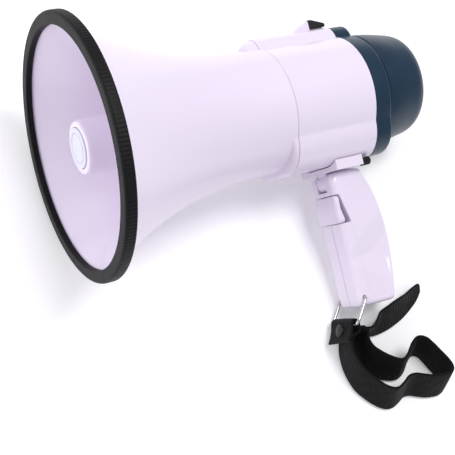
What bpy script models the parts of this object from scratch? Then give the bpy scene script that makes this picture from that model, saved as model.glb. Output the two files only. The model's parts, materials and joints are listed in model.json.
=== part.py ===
"""Handheld megaphone with a folding pistol handle, lying on its side with its wrist strap on the table.

The megaphone is drawn as it is held: X across, Y along the horn axis from the mouth to the rear, Z up.
An empty then lays it down on its mouth rim, its rear cap and the end of its handle. Metres throughout.
"""

import math

import bmesh
import bpy
import numpy as np
from mathutils import Matrix, Vector

# Clearances and walls
GAP = 0.0003
WALL = 0.0022
RUNNING = 0.0003

# Horn
MOUTH_RADIUS = 0.0770
CELL_RADIUS = 0.0131
BODY_RADIUS = 3.0 * CELL_RADIUS - 0.0001
BELL_LENGTH = 0.130
BELL_FRONT = 0.0015
FLARE_POWER = 2.55
BUMPER_RADIUS = MOUTH_RADIUS + 0.002
BUMPER_BORE = MOUTH_RADIUS - 0.006
BUMPER_FRONT = -0.001
BUMPER_REAR = 0.006

# Reflex cup and compression driver
CUP_FRONT = 0.005
CUP_LENGTH = 0.052
CUP_RADIUS = 0.016
CUP_FACE_RADIUS = 0.012
THROAT_RADIUS = 0.0072
THROAT_FRONT = 0.026
BAFFLE_FRONT = BELL_LENGTH - 0.026
BAFFLE_THICK = 0.0035
MAGNET_RADIUS = 0.025
MAGNET_THICK = 0.009
STEEL_PLATE = 0.003
COIL_RADIUS = 0.0095

# Rear housing, its bottom pod and top ridge
HOUSING_LENGTH = 0.058
POD_HALF_WIDTH = BODY_RADIUS - 0.0069
POD_DROP = BODY_RADIUS + 0.0041
POD_CORNER = 0.0220
POD_NOSE = 0.0035
RIDGE_RADIUS = 0.012
RIDGE_HEIGHT = BODY_RADIUS + 0.0073
RIDGE_NOSE = 0.011
LUG_HEIGHT = 0.0055
LUG_HALF_WIDTH = 0.0045

# Batteries
CELL_LENGTH = HOUSING_LENGTH - 0.008
CELL_RING = math.sqrt(2.0) * (CELL_RADIUS + 1.1 * GAP)
CELL_COUNT = 4

# Rear cap and microphone hood
CAP_DEPTH = 0.0125
CAP_INSET = 0.0006
HOOD_LENGTH = 0.0318
HOOD_RADIUS = BODY_RADIUS - 0.0026
HOOD_LIP_RADIUS = HOOD_RADIUS - 0.0056
HOOD_RISE = 0.0015
GRILLE_RADIUS = 0.0125

# Hinge and handle
HANDLE_PLACE = BELL_LENGTH + 0.027
HANDLE_HALF_WIDTH = 0.013
HANDLE_DEPTH = 0.028
HANDLE_BULGE = 0.0065
HANDLE_LENGTH = 0.088
HANDLE_EDGE = 0.0035
HINGE_SETBACK = 0.0065
HINGE_HALF_WIDTH = POD_HALF_WIDTH - 0.0103
HINGE_LENGTH = 0.020
TONGUE_HALF_WIDTH = 0.005
TONGUE_RADIUS = 0.004
PIN_RADIUS = 0.002
TRIGGER_HALF_WIDTH = 0.007
TRIGGER_LENGTH = 0.017
TRIGGER_DROP = 0.0110
KNOB_RADIUS = 0.0027
POT_RADIUS = 0.0010
KNOB_LENGTH = 0.0065
KNOB_OFFSET = POD_HALF_WIDTH - 0.0138
SCREW_RADIUS = 0.0012

# Wire bail and strap
WIRE_RADIUS = 0.0011
BAIL_REACH = 0.018
BAIL_LEAN = 37.0
STRAP_WIDTH = 0.025
STRAP_THICK = 0.0016

# Where each block of the body ends, along Y
HOUSING_FRONT = BELL_LENGTH
HOUSING_REAR = HOUSING_FRONT + HOUSING_LENGTH
CAP_FRONT = HOUSING_REAR + GAP
CAP_REAR = CAP_FRONT + CAP_DEPTH
HOOD_FRONT = CAP_REAR + GAP
HOOD_REAR = HOOD_FRONT + HOOD_LENGTH
HINGE_TOP = -POD_DROP
HANDLE_TOP = HINGE_TOP - 0.0037
PIVOT = Vector((0.0, HANDLE_PLACE + HINGE_SETBACK, HANDLE_TOP - HINGE_SETBACK))
HANDLE_BOTTOM = HANDLE_TOP - HANDLE_LENGTH
TRIGGER_PIVOT = Vector((0.0, HANDLE_PLACE + 0.0038, PIVOT.z - TRIGGER_DROP))
BAIL_PIVOT = Vector((0.0, HANDLE_PLACE + 0.0035, HANDLE_BOTTOM + 0.0065))
KNOB_CENTRE = Vector((KNOB_OFFSET, 0.0, HINGE_TOP - 0.0016))

# The strap on the table, in the lying frame: low edge X, Y and height, then the upper edge's lean in X and Y
STRAP_ROUTE = (
    (0.1395, 0.1424, 0.0040, 0.22, 0.20),
    (0.1450, 0.1440, 0.0028, 0.10, 0.24),
    (0.1510, 0.1440, 0.0016, -0.12, 0.26),
    (0.1575, 0.1430, 0.0010, -0.30, 0.28),
    (0.1640, 0.1428, 0.0010, -0.42, 0.28),
    (0.1701, 0.1448, 0.0010, -0.47, 0.26),
    (0.1745, 0.1484, 0.0010, -0.48, 0.24),
    (0.1780, 0.1524, 0.0010, -0.47, 0.22),
    (0.1802, 0.1566, 0.0010, -0.46, 0.16),
    (0.1820, 0.1612, 0.0010, -0.44, 0.10),
    (0.1822, 0.1660, 0.0010, -0.42, 0.04),
    (0.1795, 0.1708, 0.0010, -0.41, 0.00),
    (0.1745, 0.1754, 0.0010, -0.40, 0.00),
    (0.1716, 0.1800, 0.0010, -0.39, 0.02),
    (0.1735, 0.1842, 0.0010, -0.38, 0.05),
    (0.1785, 0.1868, 0.0010, -0.37, 0.08),
    (0.1840, 0.1890, 0.0010, -0.36, 0.10),
    (0.1895, 0.1914, 0.0010, -0.35, 0.11),
    (0.1945, 0.1930, 0.0010, -0.36, 0.10),
    (0.1988, 0.1922, 0.0010, -0.40, 0.09),
    (0.2008, 0.1880, 0.0010, -0.45, 0.08),
    (0.2004, 0.1832, 0.0010, -0.47, 0.07),
    (0.1992, 0.1784, 0.0010, -0.48, 0.06),
    (0.1970, 0.1736, 0.0010, -0.48, 0.06),
    (0.1948, 0.1690, 0.0010, -0.47, 0.06),
    (0.1945, 0.1645, 0.0010, -0.46, 0.06),
    (0.1968, 0.1598, 0.0010, -0.45, 0.07),
    (0.1984, 0.1548, 0.0010, -0.44, 0.09),
    (0.1974, 0.1500, 0.0010, -0.43, 0.12),
    (0.1938, 0.1453, 0.0010, -0.42, 0.14),
    (0.1880, 0.1404, 0.0010, -0.42, 0.15),
    (0.1806, 0.1360, 0.0010, -0.42, 0.15),
    (0.1728, 0.1340, 0.0010, -0.42, 0.14),
    (0.1648, 0.1334, 0.0010, -0.38, 0.14),
    (0.1565, 0.1344, 0.0010, -0.26, 0.15),
    (0.1505, 0.1362, 0.0014, -0.08, 0.17),
    (0.1450, 0.1385, 0.0024, 0.10, 0.19),
    (0.1405, 0.1396, 0.0036, 0.21, 0.20),
    (0.1364, 0.1399, 0.0045, 0.22, 0.20),
    (0.1346, 0.1392, 0.0049, 0.22, 0.20),
    (0.1340, 0.1376, 0.0053, 0.22, 0.20),
    (0.1346, 0.1360, 0.0054, 0.22, 0.20),
    (0.1364, 0.1351, 0.0051, 0.22, 0.20),
    (0.1402, 0.1336, 0.0046, 0.21, 0.20),
    (0.1440, 0.1316, 0.0040, 0.18, 0.21),
    (0.1475, 0.1292, 0.0034, 0.14, 0.22),
)
TAIL_ROUTE = (
    (0.1424, 0.1471, 0.0044, 0.20, 0.20),
    (0.1465, 0.1504, 0.0034, 0.02, 0.20),
    (0.1500, 0.1556, 0.0022, -0.28, 0.14),
    (0.1512, 0.1620, 0.0012, -0.48, 0.06),
    (0.1502, 0.1718, 0.0010, -0.54, 0.00),
    (0.1474, 0.1816, 0.0010, -0.58, -0.02),
    (0.1444, 0.1882, 0.0010, -0.64, -0.02),
    (0.1392, 0.1968, 0.0012, -0.74, -0.02),
    (0.1340, 0.2022, 0.0016, -0.80, 0.00),
)

# Where the middle of the bail's crossbar stands on the table for the two routes above
STRAP_SEAT = Vector((0.13916, 0.13998))

SHARP = math.radians(35)


def clear_scene():
    for obj in list(bpy.data.objects):
        bpy.data.objects.remove(obj, do_unlink=True)


def new_collection(name):
    made = bpy.data.collections.new(name)
    bpy.context.scene.collection.children.link(made)
    return made


def material(name, rgb, roughness, metallic=0.0):
    made = bpy.data.materials.new(name)
    made.use_nodes = True
    shader = made.node_tree.nodes["Principled BSDF"]
    shader.inputs["Base Color"].default_value = (*rgb, 1.0)
    shader.inputs["Roughness"].default_value = roughness
    shader.inputs["Metallic"].default_value = metallic
    return made


def empty(name, parent, place=(0.0, 0.0, 0.0)):
    """An empty at a place in its parent's axes."""
    made = bpy.data.objects.new(name, None)
    PARTS.objects.link(made)
    made.parent = parent
    made.location = place
    return made


def at(pivot, place):
    """A held-frame place in the axes of a pivot empty that stands in the held frame."""
    return Vector(place) - (Vector(pivot.location) if pivot is not HELD else Vector())


def keep(obj, look, parent):
    """Files an object with the parts, under its parent empty, with its material."""
    for shelf in list(obj.users_collection):
        shelf.objects.unlink(obj)
    PARTS.objects.link(obj)
    obj.parent = parent
    obj.data.materials.clear()
    obj.data.materials.append(look)
    return obj


def as_cutter(obj, parent):
    for shelf in list(obj.users_collection):
        shelf.objects.unlink(obj)
    CUTTERS.objects.link(obj)
    obj.parent = parent
    obj.hide_render = True
    obj.display_type = "WIRE"
    return obj


def mesh_object(name, mesh_builder):
    """A mesh object filled by a function that works on a BMesh."""
    shape = bmesh.new()
    mesh_builder(shape)
    mesh = bpy.data.meshes.new(name)
    shape.to_mesh(mesh)
    shape.free()
    return bpy.data.objects.new(name, mesh)


def smooth(obj):
    obj.data.shade_smooth()
    obj.data.set_sharp_from_angle(angle=SHARP)
    return obj


def turned(name, profile, place, steps=40, along="Y"):
    """A solid turned from (radius, distance) points about an axis through place, along Y or X.

    A profile may start and end on the axis, or be a closed ring clear of it.
    """
    ring = min(r for r, _ in profile) > 1e-6
    area = sum(a[0] * b[1] - b[0] * a[1] for a, b in zip(profile, profile[1:] + profile[:1]))
    points = profile[::-1] if area > 0 else profile
    mesh = bpy.data.meshes.new(name)
    edges = [(i, i + 1) for i in range(len(points) - 1)]
    if ring:
        edges.append((len(points) - 1, 0))
    mesh.from_pydata([(r, 0.0, h) for r, h in points], edges, [])
    obj = bpy.data.objects.new(name, mesh)
    turn = obj.modifiers.new("turn", "SCREW")
    turn.steps = turn.render_steps = steps
    turn.use_merge_vertices = True
    turn.merge_threshold = 1e-5
    turn.use_smooth_shade = True
    obj.rotation_euler = (-math.pi / 2, 0.0, 0.0) if along == "Y" else (0.0, math.pi / 2, 0.0)
    obj.location = place
    return obj


def rod(name, radius, start, length, centre=(0.0, 0.0, 0.0), along="Y", steps=24):
    """A plain turned cylinder from start along its axis."""
    profile = [(0.0, start), (radius, start), (radius, start + length), (0.0, start + length)]
    return turned(name, profile, centre, steps, along)


def box(name, low, high, bevel=0.0, segments=2):
    """A box between two corners, its edges rounded where a bevel is given."""
    low, high = Vector(low), Vector(high)

    def build(shape):
        bmesh.ops.create_cube(shape, size=1.0)
        bmesh.ops.scale(shape, vec=high - low, verts=shape.verts)

    obj = mesh_object(name, build)
    obj.location = (low + high) / 2
    if bevel > 0:
        rounding = obj.modifiers.new("edges", "BEVEL")
        rounding.width = bevel
        rounding.segments = segments
    return obj


def plate(name, outline, low_x, high_x):
    """A flat outline of (Y, Z) points, extruded across from low_x to high_x, as a mesh."""
    curve = bpy.data.curves.new(name, "CURVE")
    curve.dimensions = "2D"
    curve.fill_mode = "BOTH"
    curve.extrude = (high_x - low_x) / 2
    line = curve.splines.new("POLY")
    line.points.add(len(outline) - 1)
    for point, (y, z) in zip(line.points, outline):
        point.co = (y, z, 0.0, 1.0)
    line.use_cyclic_u = True
    flat = bpy.data.objects.new(name + "_outline", curve)
    bpy.context.scene.collection.objects.link(flat)
    graph = bpy.context.evaluated_depsgraph_get()
    mesh = bpy.data.meshes.new_from_object(flat.evaluated_get(graph))
    bpy.data.objects.remove(flat, do_unlink=True)
    welded = bmesh.new()
    welded.from_mesh(mesh)
    bmesh.ops.remove_doubles(welded, verts=welded.verts, dist=1e-6)
    bmesh.ops.dissolve_limit(welded, angle_limit=0.001, verts=welded.verts, edges=welded.edges)
    bmesh.ops.recalc_face_normals(welded, faces=welded.faces)
    welded.to_mesh(mesh)
    welded.free()
    obj = bpy.data.objects.new(name, mesh)
    obj.rotation_euler = (math.pi / 2, 0.0, math.pi / 2)
    obj.location = ((low_x + high_x) / 2, 0.0, 0.0)
    return obj


def combine(obj, other, operation):
    """A live Boolean on obj, in the order of the calls."""
    step = obj.modifiers.new(operation.lower(), "BOOLEAN")
    step.operation = operation
    step.object = other
    step.solver = "EXACT"
    return obj


def cut(obj, cutter, parent=None):
    return combine(obj, as_cutter(cutter, parent or HELD), "DIFFERENCE")


def join(obj, other, parent=None):
    return combine(obj, as_cutter(other, parent or HELD), "UNION")


def arc(centre, radius, start, end, count):
    """Points on an arc, from start to end in degrees."""
    angles = np.radians(np.linspace(start, end, count))
    return [(centre[0] + radius * math.cos(a), centre[1] + radius * math.sin(a)) for a in angles]


def flare(distance):
    """The bell's outer radius at a distance behind the mouth: a power curve that eases into the body."""
    share = np.clip(1.0 - distance / BELL_LENGTH, 0.0, 1.0)
    return BODY_RADIUS + (MOUTH_RADIUS - BODY_RADIUS) * share**FLARE_POWER


def flare_slope(distance):
    share = np.clip(1.0 - distance / BELL_LENGTH, 0.0, 1.0)
    rise = MOUTH_RADIUS - BODY_RADIUS
    return -rise * FLARE_POWER * share ** (FLARE_POWER - 1) / BELL_LENGTH


def bell_sides(count=15):
    """Outer and inner (radius, distance) points of the bell, one wall apart along its normals."""
    share = np.linspace(0.0, 1.0, count) ** 1.3
    rear = BELL_LENGTH - GAP / 2
    distance = BELL_FRONT + (rear - BELL_FRONT) * share
    radius, slope = flare(distance), flare_slope(distance)
    length = np.hypot(1.0, slope)
    inner_radius, inner_distance = radius - WALL / length, distance + WALL * slope / length
    inner_radius[0] = np.interp(BELL_FRONT, inner_distance, inner_radius)
    inner_distance[0] = BELL_FRONT
    inner_distance[-1] = rear
    outer = list(zip(radius.tolist(), distance.tolist()))
    inner = list(zip(inner_radius.tolist(), inner_distance.tolist()))
    return outer, inner


def pod(name, front, rear, inset=0.0):
    """The flat-bottomed pod under the housing, as a solid bar with large round lower edges."""
    half, low = POD_HALF_WIDTH - inset, POD_DROP - inset
    top = POD_DROP - POD_CORNER - 0.009

    def build(shape):
        bmesh.ops.create_cube(shape, size=1.0)
        bmesh.ops.scale(shape, vec=(2 * half, rear - front, low - top), verts=shape.verts)
        along = [e for e in shape.edges if all(v.co.z < 0 for v in e.verts)
                 and abs(e.verts[0].co.y - e.verts[1].co.y) > (rear - front) / 2]
        bmesh.ops.bevel(shape, geom=along, offset=POD_CORNER - inset, segments=8, profile=0.5,
                        affect="EDGES")

    obj = mesh_object(name, build)
    obj.location = (0.0, (front + rear) / 2, -(low + top) / 2)
    return obj


def ridge(name, front, rear, inset=0.0, nose=False):
    """The round ridge along the housing's top; with a nose, its front end is drawn down into the bell."""
    radius, centre = RIDGE_RADIUS - inset, (0.0, 0.0, RIDGE_HEIGHT - RIDGE_RADIUS)
    if not nose:
        return rod(name, radius, front, rear - front, centre, steps=28)
    start = HOUSING_FRONT + 0.004
    profile = [(radius * math.sin(a), start - RIDGE_NOSE * math.cos(a))
               for a in np.linspace(0.0, math.pi / 2, 7)]
    return turned(name, profile + [(radius, rear), (0.0, rear)], centre, 28)


def slab(name, front, rear):
    """A wide block that keeps only what lies between two distances along the axis."""
    wide = 2 * BUMPER_RADIUS
    return box(name, (-wide, front, -wide), (wide, rear, wide))


def smooth_path(points, per_span):
    """A Catmull-Rom curve through rows of numbers, with its ends doubled."""
    rows = np.array([points[0], *points, points[-1]], float)
    out = []
    for i in range(1, len(rows) - 2):
        before, here, ahead, after = rows[i - 1], rows[i], rows[i + 1], rows[i + 2]
        for t in np.arange(per_span) / per_span:
            out.append(0.5 * (2 * here + (ahead - before) * t
                              + (2 * before - 5 * here + 4 * ahead - after) * t**2
                              + (3 * here - before - 3 * ahead + after) * t**3))
    out.append(rows[-2])
    return np.array(out)


def webbing(name, route, per_span, width_at):
    """A strip of webbing that stands on its low edge along a route and leans as the route says."""
    rows = smooth_path(route, per_span)
    low, lean = rows[:, :3], rows[:, 3:5]
    up = np.sqrt(np.clip(1.0 - (lean**2).sum(axis=1), 0.05, 1.0))
    share = np.linspace(0.0, 1.0, len(rows))
    width = np.array([width_at(s) for s in share])[:, None]
    high = low + np.column_stack([lean, up]) * width
    mesh = bpy.data.meshes.new(name)
    corners = [tuple(p) for pair in zip(low, high) for p in pair]
    faces = [(2 * i, 2 * i + 2, 2 * i + 3, 2 * i + 1) for i in range(len(rows) - 1)]
    mesh.from_pydata(corners, [], faces)
    obj = bpy.data.objects.new(name, mesh)
    thick = obj.modifiers.new("thickness", "SOLIDIFY")
    thick.thickness = STRAP_THICK
    thick.offset = 0.0
    thick.use_even_offset = False
    return obj


# ---------------------------------------------------------------- how it lies down
def lying_pose():
    """Rotation and height that lay the held frame on the table.

    The axis slopes because the bumper is wider than the rear cap, and it rolls until the handle's end
    touches: a plane on the bumper's rear edge, the cap's rear edge and the handle's low rounded corner.
    """
    cap_radius = BODY_RADIUS - CAP_INSET
    slope = (BUMPER_RADIUS - cap_radius) / (CAP_REAR - BUMPER_REAR)
    height = BUMPER_RADIUS + slope * BUMPER_REAR
    scale = 1.0 / math.hypot(1.0, slope)
    side, drop = HANDLE_HALF_WIDTH - HANDLE_EDGE, -HANDLE_BOTTOM - HANDLE_EDGE
    corner_y = HANDLE_PLACE + HANDLE_DEPTH - HANDLE_EDGE
    corner_height = height - slope * corner_y - HANDLE_EDGE / scale
    roll = math.asin(corner_height / math.hypot(side, drop)) - math.atan2(side, drop)
    up = Vector((math.cos(roll), -slope, math.sin(roll))) * scale
    rear = (Vector((0.0, 1.0, 0.0)) - up * up.y).normalized()
    across = rear.cross(up)
    return Matrix((across, rear, up)), height * scale


# ---------------------------------------------------------------- horn
def make_horn(looks):
    outer, inner = bell_sides()
    bell = turned("horn_bell", outer + inner[::-1], (0.0, 0.0, 0.0), 56)
    core = WALL * 0.6
    noses = pod("pod_nose", HOUSING_FRONT - POD_NOSE, HOUSING_FRONT + 0.02)
    rounding = noses.modifiers.new("nose", "BEVEL")
    rounding.width = POD_NOSE * 0.9
    rounding.segments = 3
    rounding.limit_method = "ANGLE"
    rounding.angle_limit = math.radians(60)
    join(noses, ridge("ridge_nose", 0.0, HOUSING_FRONT + 0.02, nose=True))
    cut(noses, slab("bell_rear_face", HOUSING_FRONT - GAP / 2, HOUSING_FRONT + 0.1))
    cut(noses, rod("bell_core", BODY_RADIUS - core, 0.0, BELL_LENGTH + 0.05, steps=56))
    join(bell, noses)
    keep(smooth(bell), looks["white"], HELD)

    first, last = outer[0], (float(flare(BUMPER_REAR)), BUMPER_REAR)
    inner_first = inner[0]
    channel = BELL_FRONT - GAP
    lip = BUMPER_FRONT + 0.0042
    section = [
        (BUMPER_BORE, BUMPER_FRONT + 0.0012),
        (BUMPER_BORE + 0.0012, BUMPER_FRONT),
        (BUMPER_RADIUS - 0.002, BUMPER_FRONT),
        (BUMPER_RADIUS, BUMPER_FRONT + 0.002),
        (BUMPER_RADIUS, BUMPER_REAR - 0.001),
        (BUMPER_RADIUS - 0.001, BUMPER_REAR),
        (last[0] + 2 * GAP, BUMPER_REAR),
        (first[0] + 2 * GAP, channel),
        (inner_first[0] - 2 * GAP, channel),
        (BUMPER_BORE, lip),
    ]
    bumper = turned("mouth_bumper", section, (0.0, 0.0, 0.0), 56)
    keep(smooth(bumper), looks["rubber"], HELD)

    # The reflector cup is closed in front and open behind, with a shallow recess for its face disc.
    rear = CUP_FRONT + CUP_LENGTH
    recess = CUP_FACE_RADIUS + GAP
    cup = turned("reflex_cup", [
        (0.0, CUP_FRONT + 0.0016), (recess, CUP_FRONT + 0.0016), (recess, CUP_FRONT),
        (CUP_RADIUS - 0.002, CUP_FRONT), (CUP_RADIUS - 0.0005, CUP_FRONT + 0.001),
        (CUP_RADIUS, CUP_FRONT + 0.003), (CUP_RADIUS + 0.001, rear),
        (CUP_RADIUS + 0.001 - WALL, rear), (CUP_RADIUS - WALL, CUP_FRONT + 0.010),
        (CUP_RADIUS - WALL - 0.004, CUP_FRONT + 0.0055), (0.0, CUP_FRONT + 0.0045),
    ], (0.0, 0.0, 0.0), 40)
    keep(smooth(cup), looks["white"], HELD)
    keep(smooth(rod("cup_face", CUP_FACE_RADIUS, CUP_FRONT - 0.0008, 0.0021, steps=40)),
         looks["pale_blue"], HELD)

    throat = turned("throat_tube", [
        (THROAT_RADIUS - 0.0018, THROAT_FRONT), (THROAT_RADIUS - 0.0004, THROAT_FRONT),
        (THROAT_RADIUS, BAFFLE_FRONT - 0.003), (THROAT_RADIUS + 0.006, BAFFLE_FRONT - GAP - 0.0016),
        (THROAT_RADIUS + 0.006, BAFFLE_FRONT - GAP), (THROAT_RADIUS - 0.0018, BAFFLE_FRONT - GAP),
    ], (0.0, 0.0, 0.0), 32)
    keep(smooth(throat), looks["white"], HELD)

    hub = turned("cup_spider", [
        (THROAT_RADIUS + GAP, THROAT_FRONT + 0.004), (THROAT_RADIUS + 0.002, THROAT_FRONT + 0.004),
        (THROAT_RADIUS + 0.002, THROAT_FRONT + 0.020), (THROAT_RADIUS + GAP, THROAT_FRONT + 0.020),
    ], (0.0, 0.0, 0.0), 32)
    reach = CUP_RADIUS - WALL - GAP
    for turn in range(3):
        vane = box(f"cup_vane_{turn}", (THROAT_RADIUS + 0.001, THROAT_FRONT + 0.006, -0.0008),
                   (reach, THROAT_FRONT + 0.018, 0.0008))
        centre = vane.location.copy()
        angle = math.radians(90 + 120 * turn)
        vane.rotation_euler = (0.0, -angle, 0.0)
        vane.location = (centre.x * math.cos(angle), centre.y, centre.x * math.sin(angle))
        join(hub, vane)
    keep(hub, looks["white"], HELD)


def make_driver(looks):
    seat = float(flare(BAFFLE_FRONT)) - WALL - 0.0012
    rear = BAFFLE_FRONT + BAFFLE_THICK
    baffle = turned("driver_baffle", [
        (0.0054, BAFFLE_FRONT), (seat, BAFFLE_FRONT), (seat, rear), (0.0054, rear),
    ], (0.0, 0.0, 0.0), 48)
    keep(smooth(baffle), looks["white"], HELD)

    at_gasket = rear + GAP
    gasket = turned("driver_gasket", [
        (0.020, at_gasket), (MAGNET_RADIUS, at_gasket),
        (MAGNET_RADIUS, at_gasket + 0.0015), (0.020, at_gasket + 0.0015),
    ], (0.0, 0.0, 0.0), 40)
    keep(gasket, looks["rubber"], HELD)

    dome_front = at_gasket + 0.0002
    dome = [(0.0185 * math.sin(a), dome_front + 0.0035 * (1 - math.cos(a)))
            for a in np.linspace(0.0, math.pi / 2, 5)]
    back = [(r * 0.97, h + 0.0004) for r, h in dome[::-1]]
    diaphragm = turned("driver_diaphragm", dome + back, (0.0, 0.0, 0.0), 28)
    keep(smooth(diaphragm), looks["phenolic"], HELD)

    plate_front = at_gasket + 0.0015 + GAP + 0.0030
    coil = turned("voice_coil", [
        (COIL_RADIUS, plate_front - 0.0018), (COIL_RADIUS + 0.0009, plate_front - 0.0018),
        (COIL_RADIUS + 0.0009, plate_front + 0.0045), (COIL_RADIUS, plate_front + 0.0045),
    ], (0.0, 0.0, 0.0), 32)
    keep(coil, looks["copper"], HELD)
    top = turned("top_plate", [
        (COIL_RADIUS + 0.0015, plate_front), (MAGNET_RADIUS - 0.002, plate_front),
        (MAGNET_RADIUS - 0.002, plate_front + STEEL_PLATE), (COIL_RADIUS + 0.0015, plate_front + STEEL_PLATE),
    ], (0.0, 0.0, 0.0), 32)
    keep(top, looks["zinc"], HELD)
    magnet_front = plate_front + STEEL_PLATE + GAP
    magnet = turned("magnet", [
        (COIL_RADIUS + 0.003, magnet_front), (MAGNET_RADIUS, magnet_front),
        (MAGNET_RADIUS, magnet_front + MAGNET_THICK), (COIL_RADIUS + 0.003, magnet_front + MAGNET_THICK),
    ], (0.0, 0.0, 0.0), 32)
    keep(magnet, looks["ferrite"], HELD)
    yoke_front = magnet_front + MAGNET_THICK + GAP
    yoke = turned("yoke", [
        (0.0, plate_front), (COIL_RADIUS - 0.0006, plate_front), (COIL_RADIUS - 0.0006, yoke_front),
        (MAGNET_RADIUS - 0.002, yoke_front), (MAGNET_RADIUS - 0.002, yoke_front + STEEL_PLATE),
        (0.0, yoke_front + STEEL_PLATE),
    ], (0.0, 0.0, 0.0), 32)
    keep(yoke, looks["zinc"], HELD)
    return yoke_front + STEEL_PLATE


# ---------------------------------------------------------------- housing, batteries, electronics
def body_form(name, front, rear, inset=0.0):
    """Body cylinder with pod and ridge, as one solid between two distances."""
    form = rod(name, BODY_RADIUS - inset, front, rear - front, steps=64)
    join(form, pod(name + "_pod", front, rear, inset))
    join(form, ridge(name + "_ridge", front, rear, inset))
    return form


def make_housing(looks):
    front, rear = HOUSING_FRONT + GAP / 2, HOUSING_REAR
    housing = body_form("rear_housing", front, rear)
    fin_top = RIDGE_HEIGHT + LUG_HEIGHT
    fin_rear = rear - 0.0135
    fin = plate("lug_fin", [
        (fin_rear - 0.013, RIDGE_HEIGHT - 0.003), (fin_rear - 0.0115, RIDGE_HEIGHT + 0.0002),
        (fin_rear - 0.002, fin_top), (fin_rear, fin_top - 0.0006), (fin_rear, RIDGE_HEIGHT - 0.003),
    ], -LUG_HALF_WIDTH, LUG_HALF_WIDTH)
    join(housing, fin)
    cut(housing, body_form("housing_hollow", front - 0.01, rear + 0.01, WALL))
    keep(smooth(housing), looks["white"], HELD)

    tab_front = fin_rear + GAP
    tab_low = RIDGE_HEIGHT + GAP
    tab = plate("strap_lug", [
        (tab_front, tab_low), (tab_front, fin_top + 0.0004), (tab_front + 0.0022, fin_top + 0.0004),
        (rear - 0.001, tab_low + 0.0022), (rear - 0.001, tab_low),
    ], -LUG_HALF_WIDTH + 0.0005, LUG_HALF_WIDTH - 0.0005)
    keep(tab, looks["black"], HELD)


def make_power(looks, driver_rear):
    tray_front = driver_rear + 0.0012
    plate_thick = 0.0016
    spring_room = 0.0030
    cell_front = tray_front + plate_thick + spring_room
    cell_rear = cell_front + CELL_LENGTH
    tray_radius = CELL_RING + CELL_RADIUS + 0.001
    post = CELL_RING - CELL_RADIUS - 0.0010
    tray = turned("battery_tray", [
        (0.0, tray_front), (tray_radius, tray_front), (tray_radius, tray_front + plate_thick),
        (post, tray_front + plate_thick), (post, cell_rear + GAP), (tray_radius, cell_rear + GAP),
        (tray_radius, cell_rear + GAP + plate_thick), (0.0, cell_rear + GAP + plate_thick),
    ], (0.0, 0.0, 0.0), 40)
    keep(tray, looks["black"], HELD)
    for number in range(CELL_COUNT):
        angle = math.radians(45 + 360 / CELL_COUNT * number)
        centre = (CELL_RING * math.cos(angle), 0.0, CELL_RING * math.sin(angle))
        nub = 0.0015
        cell = turned(f"battery_cell_{number + 1}", [
            (0.0, cell_front + 0.0008), (CELL_RADIUS - 0.0022, cell_front + 0.0008),
            (CELL_RADIUS - 0.0012, cell_front), (CELL_RADIUS, cell_front + 0.0006),
            (CELL_RADIUS, cell_rear - nub - 0.0006), (CELL_RADIUS - 0.0008, cell_rear - nub),
            (0.0035, cell_rear - nub), (0.0033, cell_rear), (0.0, cell_rear),
        ], centre, 28)
        keep(smooth(cell), looks["cell"], HELD)
        foot = tray_front + plate_thick + GAP
        spring = turned(f"contact_spring_{number + 1}", [
            (0.0, foot), (0.0055, foot), (0.0026, cell_front - GAP), (0.0, cell_front - GAP),
        ], centre, 16)
        keep(spring, looks["steel"], HELD)

    board_low = -(POD_DROP - WALL) + 0.0015
    board = box("amplifier_board", (-0.013, HOUSING_FRONT + 0.006, board_low),
                (0.013, HOUSING_REAR - 0.006, board_low + 0.0016))
    keep(board, looks["board"], HELD)
    top = board_low + 0.0016 + GAP
    for number, (y, size) in enumerate(((0.012, 0.0016), (0.022, 0.0020), (0.036, 0.0014)), 1):
        chip = box(f"board_chip_{number}", (-0.004, HOUSING_FRONT + y, top),
                   (0.004, HOUSING_FRONT + y + 0.006, top + size))
        keep(chip, looks["black"], HELD)


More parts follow.
